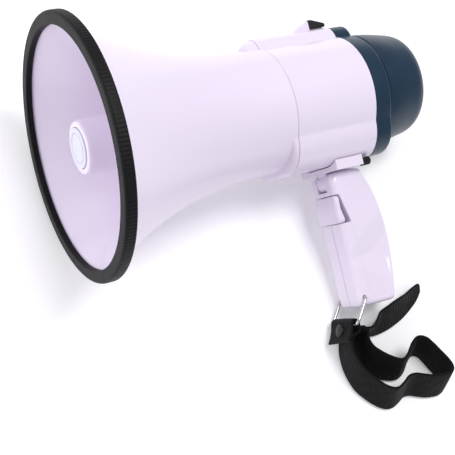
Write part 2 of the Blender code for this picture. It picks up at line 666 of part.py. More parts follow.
def make_cap(looks):
    cap = body_form("rear_cap", CAP_FRONT, CAP_REAR, CAP_INSET)
    cut(cap, body_form("cap_hollow", CAP_FRONT - 0.01, CAP_REAR - WALL, CAP_INSET + WALL))
    keep(smooth(cap), looks["teal"], CAP)

    lip = HOOD_LIP_RADIUS
    outer = [
        (HOOD_RADIUS, HOOD_FRONT), (HOOD_RADIUS - 0.0002, HOOD_FRONT + 0.006),
        (HOOD_RADIUS - 0.0010, HOOD_FRONT + 0.013), (HOOD_RADIUS - 0.0022, HOOD_FRONT + 0.020),
        (lip + 0.0022, HOOD_REAR - 0.0055), (lip + 0.0009, HOOD_REAR - 0.0022),
        (lip - 0.0005, HOOD_REAR - 0.0004), (lip - 0.0017, HOOD_REAR),
    ]
    inner = [
        (lip - 0.0026, HOOD_REAR - 0.0012), (lip - 0.0016, HOOD_REAR - 0.005),
        (HOOD_RADIUS - 0.0046, HOOD_FRONT + 0.020), (HOOD_RADIUS - 0.0034, HOOD_FRONT + 0.010),
        (HOOD_RADIUS - 0.0032, HOOD_FRONT + WALL + 0.001), (HOOD_RADIUS - 0.0042, HOOD_FRONT + WALL),
    ]
    centre = at(CAP, (0.0, 0.0, HOOD_RISE))
    hood = turned("mic_hood", [(0.0, HOOD_FRONT), *outer, *inner, (0.0, HOOD_FRONT + WALL)], centre, 48)
    keep(smooth(hood), looks["teal"], CAP)

    base = HOOD_FRONT + WALL + GAP
    seat = GRILLE_RADIUS + 0.0005
    bezel = turned("mic_bezel", [
        (0.0, base), (HOOD_RADIUS - 0.0048, base), (HOOD_RADIUS - 0.0052, base + 0.0012),
        (seat + 0.006, base + 0.0030), (seat + 0.0030, base + 0.0055), (seat + 0.0012, base + 0.0060),
        (seat, base + 0.0055), (seat, base + 0.0030), (0.0062, base + 0.0030), (0.0062, base + 0.0010),
        (0.0, base + 0.0010),
    ], centre, 36)
    keep(smooth(bezel), looks["black"], CAP)
    capsule = rod("mic_capsule", 0.0049, base + 0.0013, 0.0045, centre, steps=24)
    keep(smooth(capsule), looks["zinc"], CAP)
    foam = turned("mic_foam", [
        (0.0053, base + 0.0033), (GRILLE_RADIUS - 0.0006, base + 0.0033),
        (GRILLE_RADIUS - 0.0006, base + 0.0056), (0.0053, base + 0.0060),
    ], centre, 32)
    keep(foam, looks["foam"], CAP)
    dome = [(GRILLE_RADIUS * math.sin(a), base + 0.0064 + 0.0022 * math.cos(a))
            for a in np.linspace(0.0, math.pi / 2, 5)]
    under = [(r * 0.93, h - 0.0005) for r, h in dome[::-1]]
    under[0] = (under[0][0], dome[-1][1] - 0.0001)
    grille = turned("mic_grille", dome + under, centre, 28)
    keep(smooth(grille), looks["mesh"], CAP)


# ---------------------------------------------------------------- hinge, handle, trigger
def handle_outline(inset=0.0):
    """Side view of the handle: a straight front, a bulged back, and a top rounded about the hinge."""
    front, rear = HANDLE_PLACE + inset, HANDLE_PLACE + HANDLE_DEPTH - inset
    top, bottom = HANDLE_TOP - inset, HANDLE_BOTTOM + inset
    knuckle = HINGE_SETBACK - inset
    outline = arc((PIVOT.y, PIVOT.z), knuckle, 180, 90, 6)
    share = np.linspace(0.0, 1.0, 11)
    bulge = HANDLE_BULGE * np.sin(math.pi * share**0.85) ** 0.9
    back = [(rear - 0.003 * (1 - s) ** 2 + b, top - 0.003 - (top - 0.003 - bottom) * s)
            for s, b in zip(share, bulge)]
    outline += [(rear - 0.010, top), (rear - 0.0055, top - 0.0008), *back]
    outline += [(front - 0.0005, bottom + 0.0015)]
    return outline


def make_hinge(looks):
    front = HANDLE_PLACE + 0.001
    rear = front + HINGE_LENGTH
    bottom = HANDLE_TOP + GAP
    block = box("hinge_block", (-HINGE_HALF_WIDTH, front, bottom),
                (HINGE_HALF_WIDTH, rear, HINGE_TOP + 0.008))
    cut(block, pod("block_seat", front - 0.01, rear + 0.01, -GAP))
    root = bottom + 0.0015
    eye = arc((PIVOT.y, PIVOT.z), TONGUE_RADIUS, 0, -180, 11)
    join(block, plate("tongue", [(eye[0][0], root), *eye, (eye[-1][0], root)],
                      -TONGUE_HALF_WIDTH, TONGUE_HALF_WIDTH))
    cut(block, rod("tongue_bore", PIN_RADIUS + RUNNING, -0.02, 0.04, PIVOT, "X"))
    cut(block, rod("pot_bore", POT_RADIUS + GAP, rear - 0.009, 0.02, KNOB_CENTRE))
    keep(block, looks["white"], HELD)

    pin = rod("hinge_pin", PIN_RADIUS, -HANDLE_HALF_WIDTH + 0.0015, 2 * HANDLE_HALF_WIDTH - 0.003, PIVOT, "X")
    keep(smooth(pin), looks["steel"], HELD)
    pot = rod("volume_pot", POT_RADIUS, rear - 0.0085, 0.0082, KNOB_CENTRE)
    keep(pot, looks["zinc"], HELD)
    start = rear + GAP
    knob = turned("volume_knob", [
        (0.0, start), (KNOB_RADIUS, start), (KNOB_RADIUS, start + KNOB_LENGTH - 0.0007),
        (KNOB_RADIUS - 0.0007, start + KNOB_LENGTH), (0.0, start + KNOB_LENGTH),
    ], at(KNOB, KNOB_CENTRE), 24)
    end = start + KNOB_LENGTH
    low = at(KNOB, KNOB_CENTRE + Vector((-0.0003, end - 0.0005, 0.0)))
    high = at(KNOB, KNOB_CENTRE + Vector((0.0003, end + 0.001, 0.004)))
    cut(knob, box("knob_pointer", low, high), KNOB)
    keep(knob, looks["black"], KNOB)


def screw_places():
    return [(HANDLE_PLACE + 0.021, PIVOT.z - 0.006), (HANDLE_PLACE + 0.010, HANDLE_TOP - 0.052),
            (HANDLE_PLACE + 0.019, HANDLE_BOTTOM + 0.007)]


def split(shell, name, side):
    """Takes away what lies beyond the plane where the two halves meet."""
    far = -side * 0.1
    cut(shell, box(name, (min(far, side * GAP / 2), 0.0, -0.3), (max(far, side * GAP / 2), 0.4, 0.1)))


def half_handle(name, side, look):
    """One moulded half of the handle, open towards the other half; side is +1 or -1."""
    shell = plate(name, handle_outline(), -HANDLE_HALF_WIDTH, HANDLE_HALF_WIDTH)
    shell.location -= HANDLE.location
    rounding = shell.modifiers.new("edges", "BEVEL")
    rounding.width = HANDLE_EDGE
    rounding.segments = 3
    rounding.limit_method = "ANGLE"
    rounding.angle_limit = math.radians(50)
    if side < 0:
        split(shell, name + "_other_side", side)
    inside = (HANDLE_HALF_WIDTH - WALL) * side
    cavity = [(y, z) for y, z in handle_outline(WALL) if z < PIVOT.z - 0.007]
    cavity = [(HANDLE_PLACE + WALL, PIVOT.z - 0.0095), (HANDLE_PLACE + HANDLE_DEPTH - WALL, PIVOT.z - 0.0095),
              *[p for p in cavity if p[1] < PIVOT.z - 0.010]]
    cut(shell, plate(name + "_cavity", cavity, min(-0.001 * side, inside), max(-0.001 * side, inside)))
    slot = TONGUE_HALF_WIDTH + RUNNING
    cut(shell, rod(name + "_knuckle", 0.0084, -slot, 2 * slot, PIVOT, "X", 32))
    cut(shell, rod(name + "_pin_bore", PIN_RADIUS + GAP, -HANDLE_HALF_WIDTH + 0.0012,
                   2 * HANDLE_HALF_WIDTH - 0.0024, PIVOT, "X"))
    mouth = TRIGGER_HALF_WIDTH + RUNNING
    cut(shell, box(name + "_trigger_slot",
                   (-mouth, HANDLE_PLACE - 0.01, TRIGGER_PIVOT.z - TRIGGER_LENGTH + 0.0015),
                   (mouth, HANDLE_PLACE + 0.008, TRIGGER_PIVOT.z + 0.0032)))
    cut(shell, rod(name + "_trigger_bore", 0.0012 + GAP, -HANDLE_HALF_WIDTH + 0.0010,
                   2 * HANDLE_HALF_WIDTH - 0.0020, TRIGGER_PIVOT, "X", 16))
    if side > 0:
        cut(shell, rod(name + "_spring_pocket", 0.0029, mouth - 0.001, 0.0038, TRIGGER_PIVOT, "X", 16))
    cut(shell, rod(name + "_bail_bore", WIRE_RADIUS + RUNNING, -0.02, 0.04, BAIL_PIVOT, "X"))
    for number, (y, z) in enumerate(screw_places()):
        spot = (0.0, y, z)
        if side > 0:
            boss_length = HANDLE_HALF_WIDTH - 0.0012
            join(shell, rod(f"{name}_boss_{number}", 0.0032, -GAP, boss_length + GAP, spot, "X", 16))
            cut(shell, rod(f"{name}_pilot_{number}", SCREW_RADIUS + GAP, -0.001, 0.0095, spot, "X", 16))
        else:
            cut(shell, rod(f"{name}_hole_{number}", SCREW_RADIUS + GAP, -0.02, 0.021, spot, "X", 16))
            cut(shell, rod(f"{name}_sink_{number}", 0.0027 + GAP, -0.02,
                           0.02 - HANDLE_HALF_WIDTH + 0.0014, spot, "X", 20))
    if side > 0:
        split(shell, name + "_other_side", side)
    return keep(shell, look, HANDLE)


def make_handle(looks):
    half_handle("handle_left", 1, looks["white"])
    half_handle("handle_right", -1, looks["white"])
    for number, (y, z) in enumerate(screw_places(), 1):
        head = -HANDLE_HALF_WIDTH + 0.0001
        screw = turned(f"handle_screw_{number}", [
            (0.0, head), (0.0027, head), (0.0027, head + 0.0012), (SCREW_RADIUS, head + 0.0012),
            (SCREW_RADIUS, 0.008), (0.0, 0.008),
        ], at(HANDLE, (0.0, y, z)), 16, "X")
        keep(screw, looks["steel"], HANDLE)

    # The trigger is a rocker: a nose that stands out more towards its lower end, and a boss on its pin.
    y, z = TRIGGER_PIVOT.y, TRIGGER_PIVOT.z
    nose = [
        (y - 0.0040, z + 0.0005), (y - 0.0046, z - 0.004), (y - 0.0078, z - TRIGGER_LENGTH + 0.0050),
        (y - 0.0080, z - TRIGGER_LENGTH + 0.0035), (y - 0.0070, z - TRIGGER_LENGTH + 0.0022),
        (y - 0.0006, z - TRIGGER_LENGTH + 0.0022), (y + 0.0010, z - 0.006),
    ]
    outline = nose + arc((y, z), 0.0026, -20, 150, 6)
    trigger = plate("trigger", outline, -TRIGGER_HALF_WIDTH, TRIGGER_HALF_WIDTH)
    trigger.location -= TRIGGER.location + HANDLE.location
    rounding = trigger.modifiers.new("edges", "BEVEL")
    rounding.width = 0.0006
    rounding.segments = 2
    rounding.limit_method = "ANGLE"
    rounding.angle_limit = math.radians(50)
    bore = rod("trigger_bore", 0.0012 + RUNNING, -0.02, 0.04, TRIGGER_PIVOT, "X", 16)
    cut(trigger, bore)
    keep(trigger, looks["white"], TRIGGER)
    at_pin = at(HANDLE, TRIGGER_PIVOT)
    pin_half = HANDLE_HALF_WIDTH - 0.0013
    pin = rod("trigger_pin", 0.0012, -pin_half, 2 * pin_half, at_pin, "X", 16)
    keep(pin, looks["steel"], HANDLE)
    switch_front = HANDLE_PLACE + 0.0092
    switch = box("trigger_switch", at(HANDLE, (-0.0055, switch_front, z - TRIGGER_LENGTH)),
                 at(HANDLE, (0.0055, switch_front + 0.007, z - 0.006)), 0.0006, 1)
    keep(switch, looks["black"], HANDLE)
    spring = turned("trigger_spring", [
        (0.0016, TRIGGER_HALF_WIDTH + 0.0006), (0.0026, TRIGGER_HALF_WIDTH + 0.0006),
        (0.0026, TRIGGER_HALF_WIDTH + 0.0024), (0.0016, TRIGGER_HALF_WIDTH + 0.0024),
    ], at_pin, 16, "X")
    keep(spring, looks["steel"], HANDLE)


# ---------------------------------------------------------------- bail and strap
def bail_points():
    """The wire's centre line: in through the handle wall, down the leg, across, and back up."""
    lean = math.radians(BAIL_LEAN)
    down = Vector((0.0, -math.sin(lean), -math.cos(lean)))
    side = HANDLE_HALF_WIDTH + WIRE_RADIUS + 0.0008
    bend = 0.0022
    ease = bend * 0.3
    half = [
        Vector((side - 0.0040, 0.0, 0.0)), Vector((side - bend, 0.0, 0.0)),
        Vector((side - ease, 0.0, 0.0)) + down * ease, Vector((side, 0.0, 0.0)) + down * bend,
        Vector((side, 0.0, 0.0)) + down * (BAIL_REACH - bend),
        Vector((side - ease, 0.0, 0.0)) + down * (BAIL_REACH - ease),
        Vector((side - bend, 0.0, 0.0)) + down * BAIL_REACH,
    ]
    mirrored = [Vector((-p.x, p.y, p.z)) for p in reversed(half)]
    return half + mirrored


def make_bail(looks):
    curve = bpy.data.curves.new("wire_bail", "CURVE")
    curve.dimensions = "3D"
    curve.bevel_depth = WIRE_RADIUS
    curve.bevel_resolution = 2
    curve.use_fill_caps = True
    points = bail_points()
    line = curve.splines.new("POLY")
    line.points.add(len(points) - 1)
    for point, place in zip(line.points, points):
        point.co = (*place, 1.0)
    bail = bpy.data.objects.new("wire_bail", curve)
    keep(bail, looks["steel"], BAIL)

    lean = math.radians(BAIL_LEAN)
    crossbar = BAIL_PIVOT - Vector((0.0, math.sin(lean), math.cos(lean))) * BAIL_REACH
    standing = LYING @ crossbar
    seat = Vector((standing.x - STRAP_SEAT.x, standing.y - STRAP_SEAT.y, 0.0))
    strap = webbing("wrist_strap", STRAP_ROUTE, 2, lambda share: STRAP_WIDTH)
    strap.location = seat
    keep(strap, looks["webbing"], FLOOR)
    tail = webbing("strap_tail", TAIL_ROUTE, 2,
                   lambda share: STRAP_WIDTH * (1.0 - 0.74 * max(0.0, (share - 0.4) / 0.6) ** 1.3))
    tail.location = seat
    keep(tail, looks["webbing"], FLOOR)

    # The press stud sits on the outer face of the strap's end flap.
    rows = smooth_path(STRAP_ROUTE, 2)
    row, step = rows[-5], rows[-4] - rows[-6]
    lean = Vector((row[3], row[4], math.sqrt(1.0 - row[3] ** 2 - row[4] ** 2)))
    outward = lean.cross(Vector(step[:3])).normalized()
    outward *= -math.copysign(1.0, outward.y)
    stud = turned("strap_snap", [
        (0.0, 0.0), (0.0042, 0.0), (0.0040, 0.0007), (0.0030, 0.0012), (0.0, 0.0013),
    ], seat + Vector(row[:3]) + lean * STRAP_WIDTH * 0.5 + outward * (STRAP_THICK / 2 + 2 * GAP), 24)
    stud.rotation_euler = outward.to_track_quat("Z", "Y").to_euler()
    keep(smooth(stud), looks["black"], FLOOR)


# ---------------------------------------------------------------- main
clear_scene()
PARTS = new_collection("megaphone")
CUTTERS = new_collection("cutters")

LYING, CENTRE_HEIGHT = lying_pose()
FLOOR = empty("table_frame", None)
HELD = empty("held_frame", FLOOR, (0.0, 0.0, CENTRE_HEIGHT))
HELD.rotation_euler = LYING.to_euler()
CAP = empty("cap_slide_axis", HELD)
KNOB = empty("volume_turn_axis", HELD, KNOB_CENTRE)
HANDLE = empty("handle_fold_axis", HELD, PIVOT)
TRIGGER = empty("trigger_pull_axis", HANDLE, TRIGGER_PIVOT - PIVOT)
BAIL = empty("bail_swing_axis", HANDLE, BAIL_PIVOT - PIVOT)

LOOKS = {
    "white": material("white_abs", (0.84, 0.81, 0.86), 0.28),
    "pale_blue": material("pale_blue_abs", (0.62, 0.68, 0.74), 0.35),
    "teal": material("teal_abs", (0.022, 0.062, 0.085), 0.35),
    "rubber": material("black_rubber", (0.018, 0.018, 0.020), 0.6),
    "black": material("black_plastic", (0.015, 0.015, 0.017), 0.45),
    "steel": material("plated_steel", (0.72, 0.72, 0.74), 0.25, 1.0),
    "zinc": material("zinc_plate", (0.60, 0.61, 0.63), 0.4, 1.0),
    "ferrite": material("ferrite", (0.045, 0.045, 0.048), 0.7),
    "copper": material("copper_wire", (0.70, 0.32, 0.18), 0.35, 1.0),
    "phenolic": material("phenolic", (0.30, 0.16, 0.07), 0.5),
    "cell": material("cell_wrap", (0.10, 0.11, 0.13), 0.4),
    "board": material("circuit_board", (0.03, 0.16, 0.07), 0.5),
    "foam": material("foam", (0.03, 0.03, 0.03), 0.95),
    "mesh": material("grille_mesh", (0.10, 0.10, 0.11), 0.45, 1.0),
    "webbing": material("nylon_webbing", (0.012, 0.012, 0.013), 0.85),
}

make_horn(LOOKS)
DRIVER_REAR = make_driver(LOOKS)
make_housing(LOOKS)
make_power(LOOKS, DRIVER_REAR)
make_cap(LOOKS)
make_hinge(LOOKS)
make_handle(LOOKS)
make_bail(LOOKS)


def stand_on_origin():
    """Moves the table frame so that the whole object's box stands centred on the origin."""
    bpy.context.view_layer.update()
    graph = bpy.context.evaluated_depsgraph_get()
    corners = []
    for obj in PARTS.objects:
        if obj.type == "EMPTY":
            continue
        evaluated = obj.evaluated_get(graph)
        mesh = evaluated.to_mesh()
        local = np.empty(3 * len(mesh.vertices))
        mesh.vertices.foreach_get("co", local)
        evaluated.to_mesh_clear()
        world = np.array(evaluated.matrix_world)
        corners.append(local.reshape(-1, 3) @ world[:3, :3].T + world[:3, 3])
    corners = np.concatenate(corners)
    low, high = corners.min(axis=0), corners.max(axis=0)
    FLOOR.location = (-(low[0] + high[0]) / 2, -(low[1] + high[1]) / 2, -low[2])
    bpy.context.view_layer.update()


stand_on_origin()
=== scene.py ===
"""Looks of a handheld megaphone that lies on its side: fine surfaces, finishes, floor, lights and camera.

Each piece is worked out in the held axes: X across, Y from the mouth to the rear, Z up, in metres from the
centre of the mouth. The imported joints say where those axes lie, so that every piece lands on its CAD solid.
"""

import json
import logging
import math
from collections.abc import Callable, Sequence
from dataclasses import dataclass, field
from enum import Enum

import bmesh
import bpy
import numpy as np
from mathutils import Matrix, Vector


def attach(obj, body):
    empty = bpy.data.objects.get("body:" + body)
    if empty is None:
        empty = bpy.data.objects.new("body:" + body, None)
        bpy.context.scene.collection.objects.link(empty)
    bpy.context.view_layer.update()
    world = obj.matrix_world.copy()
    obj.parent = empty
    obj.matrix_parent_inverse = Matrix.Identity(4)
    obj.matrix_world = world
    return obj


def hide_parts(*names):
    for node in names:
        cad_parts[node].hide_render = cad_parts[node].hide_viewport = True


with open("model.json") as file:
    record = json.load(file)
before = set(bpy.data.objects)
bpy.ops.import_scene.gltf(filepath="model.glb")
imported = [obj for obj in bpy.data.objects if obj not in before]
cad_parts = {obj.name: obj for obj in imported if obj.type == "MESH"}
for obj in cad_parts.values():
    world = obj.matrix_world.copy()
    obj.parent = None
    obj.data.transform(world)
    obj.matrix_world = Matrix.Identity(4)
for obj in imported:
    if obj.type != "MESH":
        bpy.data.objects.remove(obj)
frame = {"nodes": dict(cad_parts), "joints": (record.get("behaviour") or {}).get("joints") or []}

Array = np.ndarray
LOG = logging.getLogger("megaphone")
MM = 0.001
TURN = 2.0 * math.pi


# ------------------------------------------------------------------ finishes
def linear(hex_colour: str, shade: float = 1.0) -> tuple[float, float, float, float]:
    """Turns an sRGB hex colour to linear light.

    Args:
        hex_colour: six hex digits after a hash sign.
        shade: a factor on the linear values.

    Returns:
        Red, green, blue and an alpha of one.
    """
    parts = np.array([int(hex_colour[i : i + 2], 16) for i in (1, 3, 5)]) / 255.0
    bright = np.where(parts <= 0.04045, parts / 12.92, ((parts + 0.055) / 1.055) ** 2.4)
    red, green, blue = (float(value) for value in np.clip(bright * shade, 0.0, 1.0))
    return red, green, blue, 1.0


def add_node(tree: bpy.types.NodeTree, kind: str, inputs: dict | None = None, **settings) -> bpy.types.Node:
    """Adds a node with its settings, and fills its inputs from values or from other nodes' sockets.

    Args:
        tree: the material's node tree.
        kind: the node's type.
        inputs: value or source socket for each input, by name or number.
        settings: the node's own properties.

    Returns:
        The new node.
    """
    node = tree.nodes.new(kind)
    for name, value in settings.items():
        setattr(node, name, value)
    for key, value in (inputs or {}).items():
        if isinstance(value, bpy.types.NodeSocket):
            tree.links.new(value, node.inputs[key])
        else:
            node.inputs[key].default_value = value
    return node


class Grain(Enum):
    """How a surface was made, which sets the pattern that the light picks out."""

    MOULDED = "moulded"
    SKIN = "rubber skin"
    BRUSHED = "brushed"
    WOVEN = "woven"
    PUNCHED = "punched"
    CELLS = "open cells"
    TRACKS = "printed tracks"


@dataclass(frozen=True)
class Finish:
    """One real material and how its surface was made.

    pitch_mm is the real spacing of its grain, depth_mm the real height of it, and tone the share by which
    its colour drifts over a few centimetres.
    """

    name: str
    slot: str
    hex_colour: str
    roughness: float
    metallic: float = 0.0
    ior: float = 1.5
    coat: float = 0.0
    sheen: float = 0.0
    shine: float = 0.5
    grain: Grain = Grain.MOULDED
    pitch_mm: float = 0.9
    depth_mm: float = 0.006
    tone: float = 0.03
    drift_mm: float = 22.0

    def material(self) -> bpy.types.Material:
        """The finish as a Blender material, made once.

        Returns:
            The material, the same one each time it is asked for.
        """
        found = bpy.data.materials.get(self.name)
        if found is not None:
            return found
        made = bpy.data.materials.new(self.name)
        made.use_nodes = True
        tree = made.node_tree
        shader = tree.nodes["Principled BSDF"]
        constants = {
            "Metallic": self.metallic,
            "IOR": self.ior,
            "Coat Weight": self.coat,
            "Coat Roughness": 0.12,
            "Specular IOR Level": self.shine,
            "Sheen Weight": self.sheen,
            "Sheen Roughness": 0.45,
        }
        for name, value in constants.items():
            shader.inputs[name].default_value = value
        where = add_node(tree, "ShaderNodeTexCoord")
        place = where.outputs["UV" if self.grain is Grain.WOVEN else "Object"]
        height, print_and_painted_shade = self._grain(tree, place)
        drift = add_node(tree, "ShaderNodeTexNoise", {
            "Vector": where.outputs["Object"], "Scale": 1000.0 / self.drift_mm, "Detail": 3.0})
        base = add_node(tree, "ShaderNodeMix", {
            0: drift.outputs["Fac"], 6: linear(self.hex_colour, 1.0 - self.tone),
            7: linear(self.hex_colour, 1.0 + self.tone)}, data_type="RGBA")
        colour = base.outputs[2]
        # The grain's mask darkens the colour: painted shade in the low parts of weave, holes and foam pores,
        # and the printed tracks' own colour on a board.
        if print_and_painted_shade is not None:
            low = linear(self.hex_colour, print_and_painted_shade[1])
            colour = add_node(tree, "ShaderNodeMix", {0: print_and_painted_shade[0], 6: low, 7: colour},
                              data_type="RGBA").outputs[2]
        tree.links.new(colour, shader.inputs["Base Color"])
        rough = add_node(tree, "ShaderNodeMapRange", {
            "Value": drift.outputs["Fac"], "To Min": self.roughness * 0.88,
            "To Max": min(1.0, self.roughness * 1.14)})
        tree.links.new(rough.outputs["Result"], shader.inputs["Roughness"])
        relief = add_node(tree, "ShaderNodeBump", {
            "Height": height, "Distance": self.depth_mm * MM, "Strength": 1.0})
        tree.links.new(relief.outputs["Normal"], shader.inputs["Normal"])
        return made

    def _grain(self, tree: bpy.types.NodeTree, place: bpy.types.NodeSocket
               ) -> tuple[bpy.types.NodeSocket, tuple[bpy.types.NodeSocket, float] | None]:
        """Draws the surface's own pattern.

        Args:
            tree: the material's node tree.
            place: where on the piece a point is.

        Returns:
            The height's socket, and a mask with a darker colour, or None. The mask is painted shade in the
            low parts of weave, holes and foam pores, and the printed tracks' own colour on a board.
        """
        scale = 1000.0 / self.pitch_mm
        if self.grain is Grain.WOVEN:
            # Ribs run across the band, each over-and-under yarn half a pitch from the next one.
            rib = add_node(tree, "ShaderNodeTexWave", {"Vector": place, "Scale": scale / 20.0 * math.pi,
                                                       "Distortion": 0.4, "Detail": 1.0},
                           wave_type="BANDS", bands_direction="X", wave_profile="SIN")
            yarn = add_node(tree, "ShaderNodeTexWave", {"Vector": place, "Scale": scale / 36.0 * math.pi,
                                                        "Distortion": 0.3, "Detail": 1.0},
                            wave_type="BANDS", bands_direction="DIAGONAL", wave_profile="SIN")
            both = add_node(tree, "ShaderNodeMath", {0: rib.outputs["Fac"], 1: yarn.outputs["Fac"]},
                            operation="MULTIPLY")
            # Painted shade: the colour darkens where the weave lies low.
            weave_painted_shade = add_node(tree, "ShaderNodeMath", {0: both.outputs[0], 1: 0.45, 2: 0.55},
                              operation="MULTIPLY_ADD")
            return both.outputs[0], (weave_painted_shade.outputs[0], 0.35)
        if self.grain is Grain.PUNCHED:
            holes = add_node(tree, "ShaderNodeTexVoronoi",
                             {"Vector": place, "Scale": scale, "Randomness": 0.0},
                             distance="EUCLIDEAN", feature="F1")
            # Painted shade: the holes are dark spots on the solid dome, for the dark space behind them.
            mask = add_node(tree, "ShaderNodeMapRange", {
                "Value": holes.outputs["Distance"], "From Min": 0.30, "From Max": 0.38})
            return mask.outputs["Result"], (mask.outputs["Result"], 0.03)
        if self.grain is Grain.CELLS:
            # Painted shade: the colour darkens towards each cell's edge, where the foam lies low.
            cells = add_node(tree, "ShaderNodeTexVoronoi", {"Vector": place, "Scale": scale},
                             feature="DISTANCE_TO_EDGE")
            return cells.outputs["Distance"], (cells.outputs["Distance"], 0.4)
        if self.grain is Grain.TRACKS:
            tracks = add_node(tree, "ShaderNodeTexBrick",
                              {"Vector": place, "Scale": scale, "Mortar Size": 0.06})
            return tracks.outputs["Fac"], (tracks.outputs["Fac"], 0.55)
        if self.grain is Grain.BRUSHED:
            drawn = add_node(tree, "ShaderNodeMapping", {"Vector": place, "Scale": (0.06, 1.0, 1.0)})
            place = drawn.outputs["Vector"]
        detail = 4.0 if self.grain is Grain.SKIN else 2.0
        noise = add_node(tree, "ShaderNodeTexNoise", {"Vector": place, "Scale": scale, "Detail": detail})
        return noise.outputs["Fac"], None


# Injection-moulded ABS: a hard gloss with a faint orange peel, and a cool lilac cast in the shade.
WHITE_ABS = Finish("ABS white moulded", "white_abs", "#ebe1f3", 0.24, coat=0.25, pitch_mm=1.4,
                   depth_mm=0.004, tone=0.012)
# The same plastic seen inside the horn, where a finer spark texture softens the gloss.
HORN_ABS = Finish("ABS white horn bore", "white_abs", "#ebe1f3", 0.30, coat=0.15, pitch_mm=1.1,
                  depth_mm=0.005, tone=0.012)
# Tinted ABS on the cup's disc: the same shell gloss a shade cooler.
PALE_BLUE_ABS = Finish("ABS pale blue moulded", "pale_blue_abs", "#dcdcee", 0.30, coat=0.1, tone=0.015)
# Deep petrol ABS, self-coloured: dark body colour with broad soft highlights.
TEAL_ABS = Finish("ABS petrol moulded", "teal_abs", "#0a2c42", 0.36, coat=0.05, shine=0.35, pitch_mm=1.2,
                  depth_mm=0.006, tone=0.06)
# Black ABS for knob, lug and bezel: slightly duller than the shell.
BLACK_ABS = Finish("ABS black moulded", "black_plastic", "#0a0a0c", 0.42, shine=0.35, pitch_mm=0.7,
                   depth_mm=0.006, tone=0.10)
# Moulded EPDM rubber: matt, with a skin that scatters light at a low angle.
RUBBER = Finish("EPDM rubber moulded", "black_rubber", "#09090b", 0.55, shine=0.22, grain=Grain.SKIN,
                pitch_mm=0.8, depth_mm=0.03, tone=0.18, drift_mm=9.0)
# Bright nickel on steel wire: clear reflections broken by die marks.
NICKEL = Finish("Nickel-plated steel wire", "plated_steel", "#c9c9cc", 0.20, metallic=1.0,
                grain=Grain.BRUSHED, pitch_mm=0.35, depth_mm=0.003, tone=0.05, drift_mm=4.0)
# Zinc plate over pressed steel: a greyer, duller metal with a crystal bloom.
ZINC = Finish("Zinc-plated steel", "zinc_plate", "#b3b6bb", 0.38, metallic=1.0, pitch_mm=1.6,
              depth_mm=0.006, tone=0.10, drift_mm=5.0)
# Sintered ferrite: charcoal ceramic with a ground grain.
FERRITE = Finish("Ferrite sintered", "ferrite", "#3a3a3e", 0.66, grain=Grain.SKIN, pitch_mm=0.5,
                 depth_mm=0.015, tone=0.15, drift_mm=4.0)
# Enamelled copper wire: warm metal with the ribs of its turns.
COPPER = Finish("Copper wire enamelled", "copper_wire", "#b5683f", 0.32, metallic=1.0,
                grain=Grain.BRUSHED, pitch_mm=0.3, depth_mm=0.02, tone=0.12, drift_mm=3.0)
# Pressed phenolic cloth: brown and mottled.
PHENOLIC = Finish("Phenolic pressed", "phenolic", "#8a6038", 0.48, pitch_mm=0.6, depth_mm=0.02,
                  tone=0.20, drift_mm=3.0)
# Shrink sleeve on a cell: a tight gloss film.
SLEEVE = Finish("PVC sleeve shrunk", "cell_wrap", "#4c5058", 0.30, coat=0.3, pitch_mm=3.0,
                depth_mm=0.01, tone=0.05)
# Solder-masked glass epoxy: green with a low relief of tracks.
BOARD = Finish("Glass epoxy solder-masked", "circuit_board", "#1f6a3c", 0.38, grain=Grain.TRACKS,
               pitch_mm=7.0, depth_mm=0.03, tone=0.06)
# Open-cell polyurethane foam: dead matt with pores of half a millimetre, darker towards their edges as
# painted shade.
FOAM = Finish("PU foam open-cell", "foam", "#2a2a2c", 0.95, grain=Grain.CELLS, pitch_mm=0.6,
              depth_mm=0.25, tone=0.15, drift_mm=4.0)
# Punched and painted steel: round holes at 1.6 mm centres, the holes drawn dark on a solid dome as painted
# shade.
GRILLE = Finish("Steel punched painted", "grille_mesh", "#3d3d42", 0.40, metallic=0.7,
                grain=Grain.PUNCHED, pitch_mm=1.6, depth_mm=0.25, tone=0.04)
# Polyamide webbing: ribs at about 1.4 mm, a little coarser than the real 1 mm so that they show; the weave's
# low parts carry painted shade.
WEBBING = Finish("Nylon webbing woven", "nylon_webbing", "#08080a", 0.78, sheen=0.03, shine=0.2,
                 grain=Grain.WOVEN, pitch_mm=1.4, depth_mm=0.22, tone=0.14, drift_mm=12.0)


# ------------------------------------------------------------------ axes and surfaces
@dataclass(frozen=True)
class HeldAxes:
    """Where the held megaphone's axes lie in the row frame."""

    origin: Array
    across: Array
    rear: Array
    up: Array

    @classmethod
    def from_joints(cls, joints: Sequence[dict], hinge: tuple[float, float, float]) -> "HeldAxes":
        """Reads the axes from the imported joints.

        Args:
            joints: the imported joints, with their axes and places.
            hinge: the handle hinge's place in the held axes.

        Returns:
            The held axes in the row frame.
        """
        named = {joint["name"]: joint for joint in joints}
        across = np.array(named["trigger_pull"]["axis"], float)
        rear = np.array(named["cap_slide"]["axis"], float)
        across, rear = across / np.linalg.norm(across), rear / np.linalg.norm(rear)
        up = np.cross(across, rear)
        place = np.array(named["handle_fold"]["pos_m"], float)
        origin = place - hinge[0] * across - hinge[1] * rear - hinge[2] * up
        return cls(origin, across, rear, up)

    def place(self, points: Array) -> Array:
        """Carries points from the held axes to the row frame."""
        return self.origin + self.turn(points)

    def turn(self, directions: Array) -> Array:
        """Turns directions from the held axes to the row frame."""
        return np.asarray(directions, float) @ np.stack([self.across, self.rear, self.up])


HINGE_PLACE = (0.0, 0.1635, -0.0535)
AXES = HeldAxes.from_joints(frame["joints"], HINGE_PLACE)


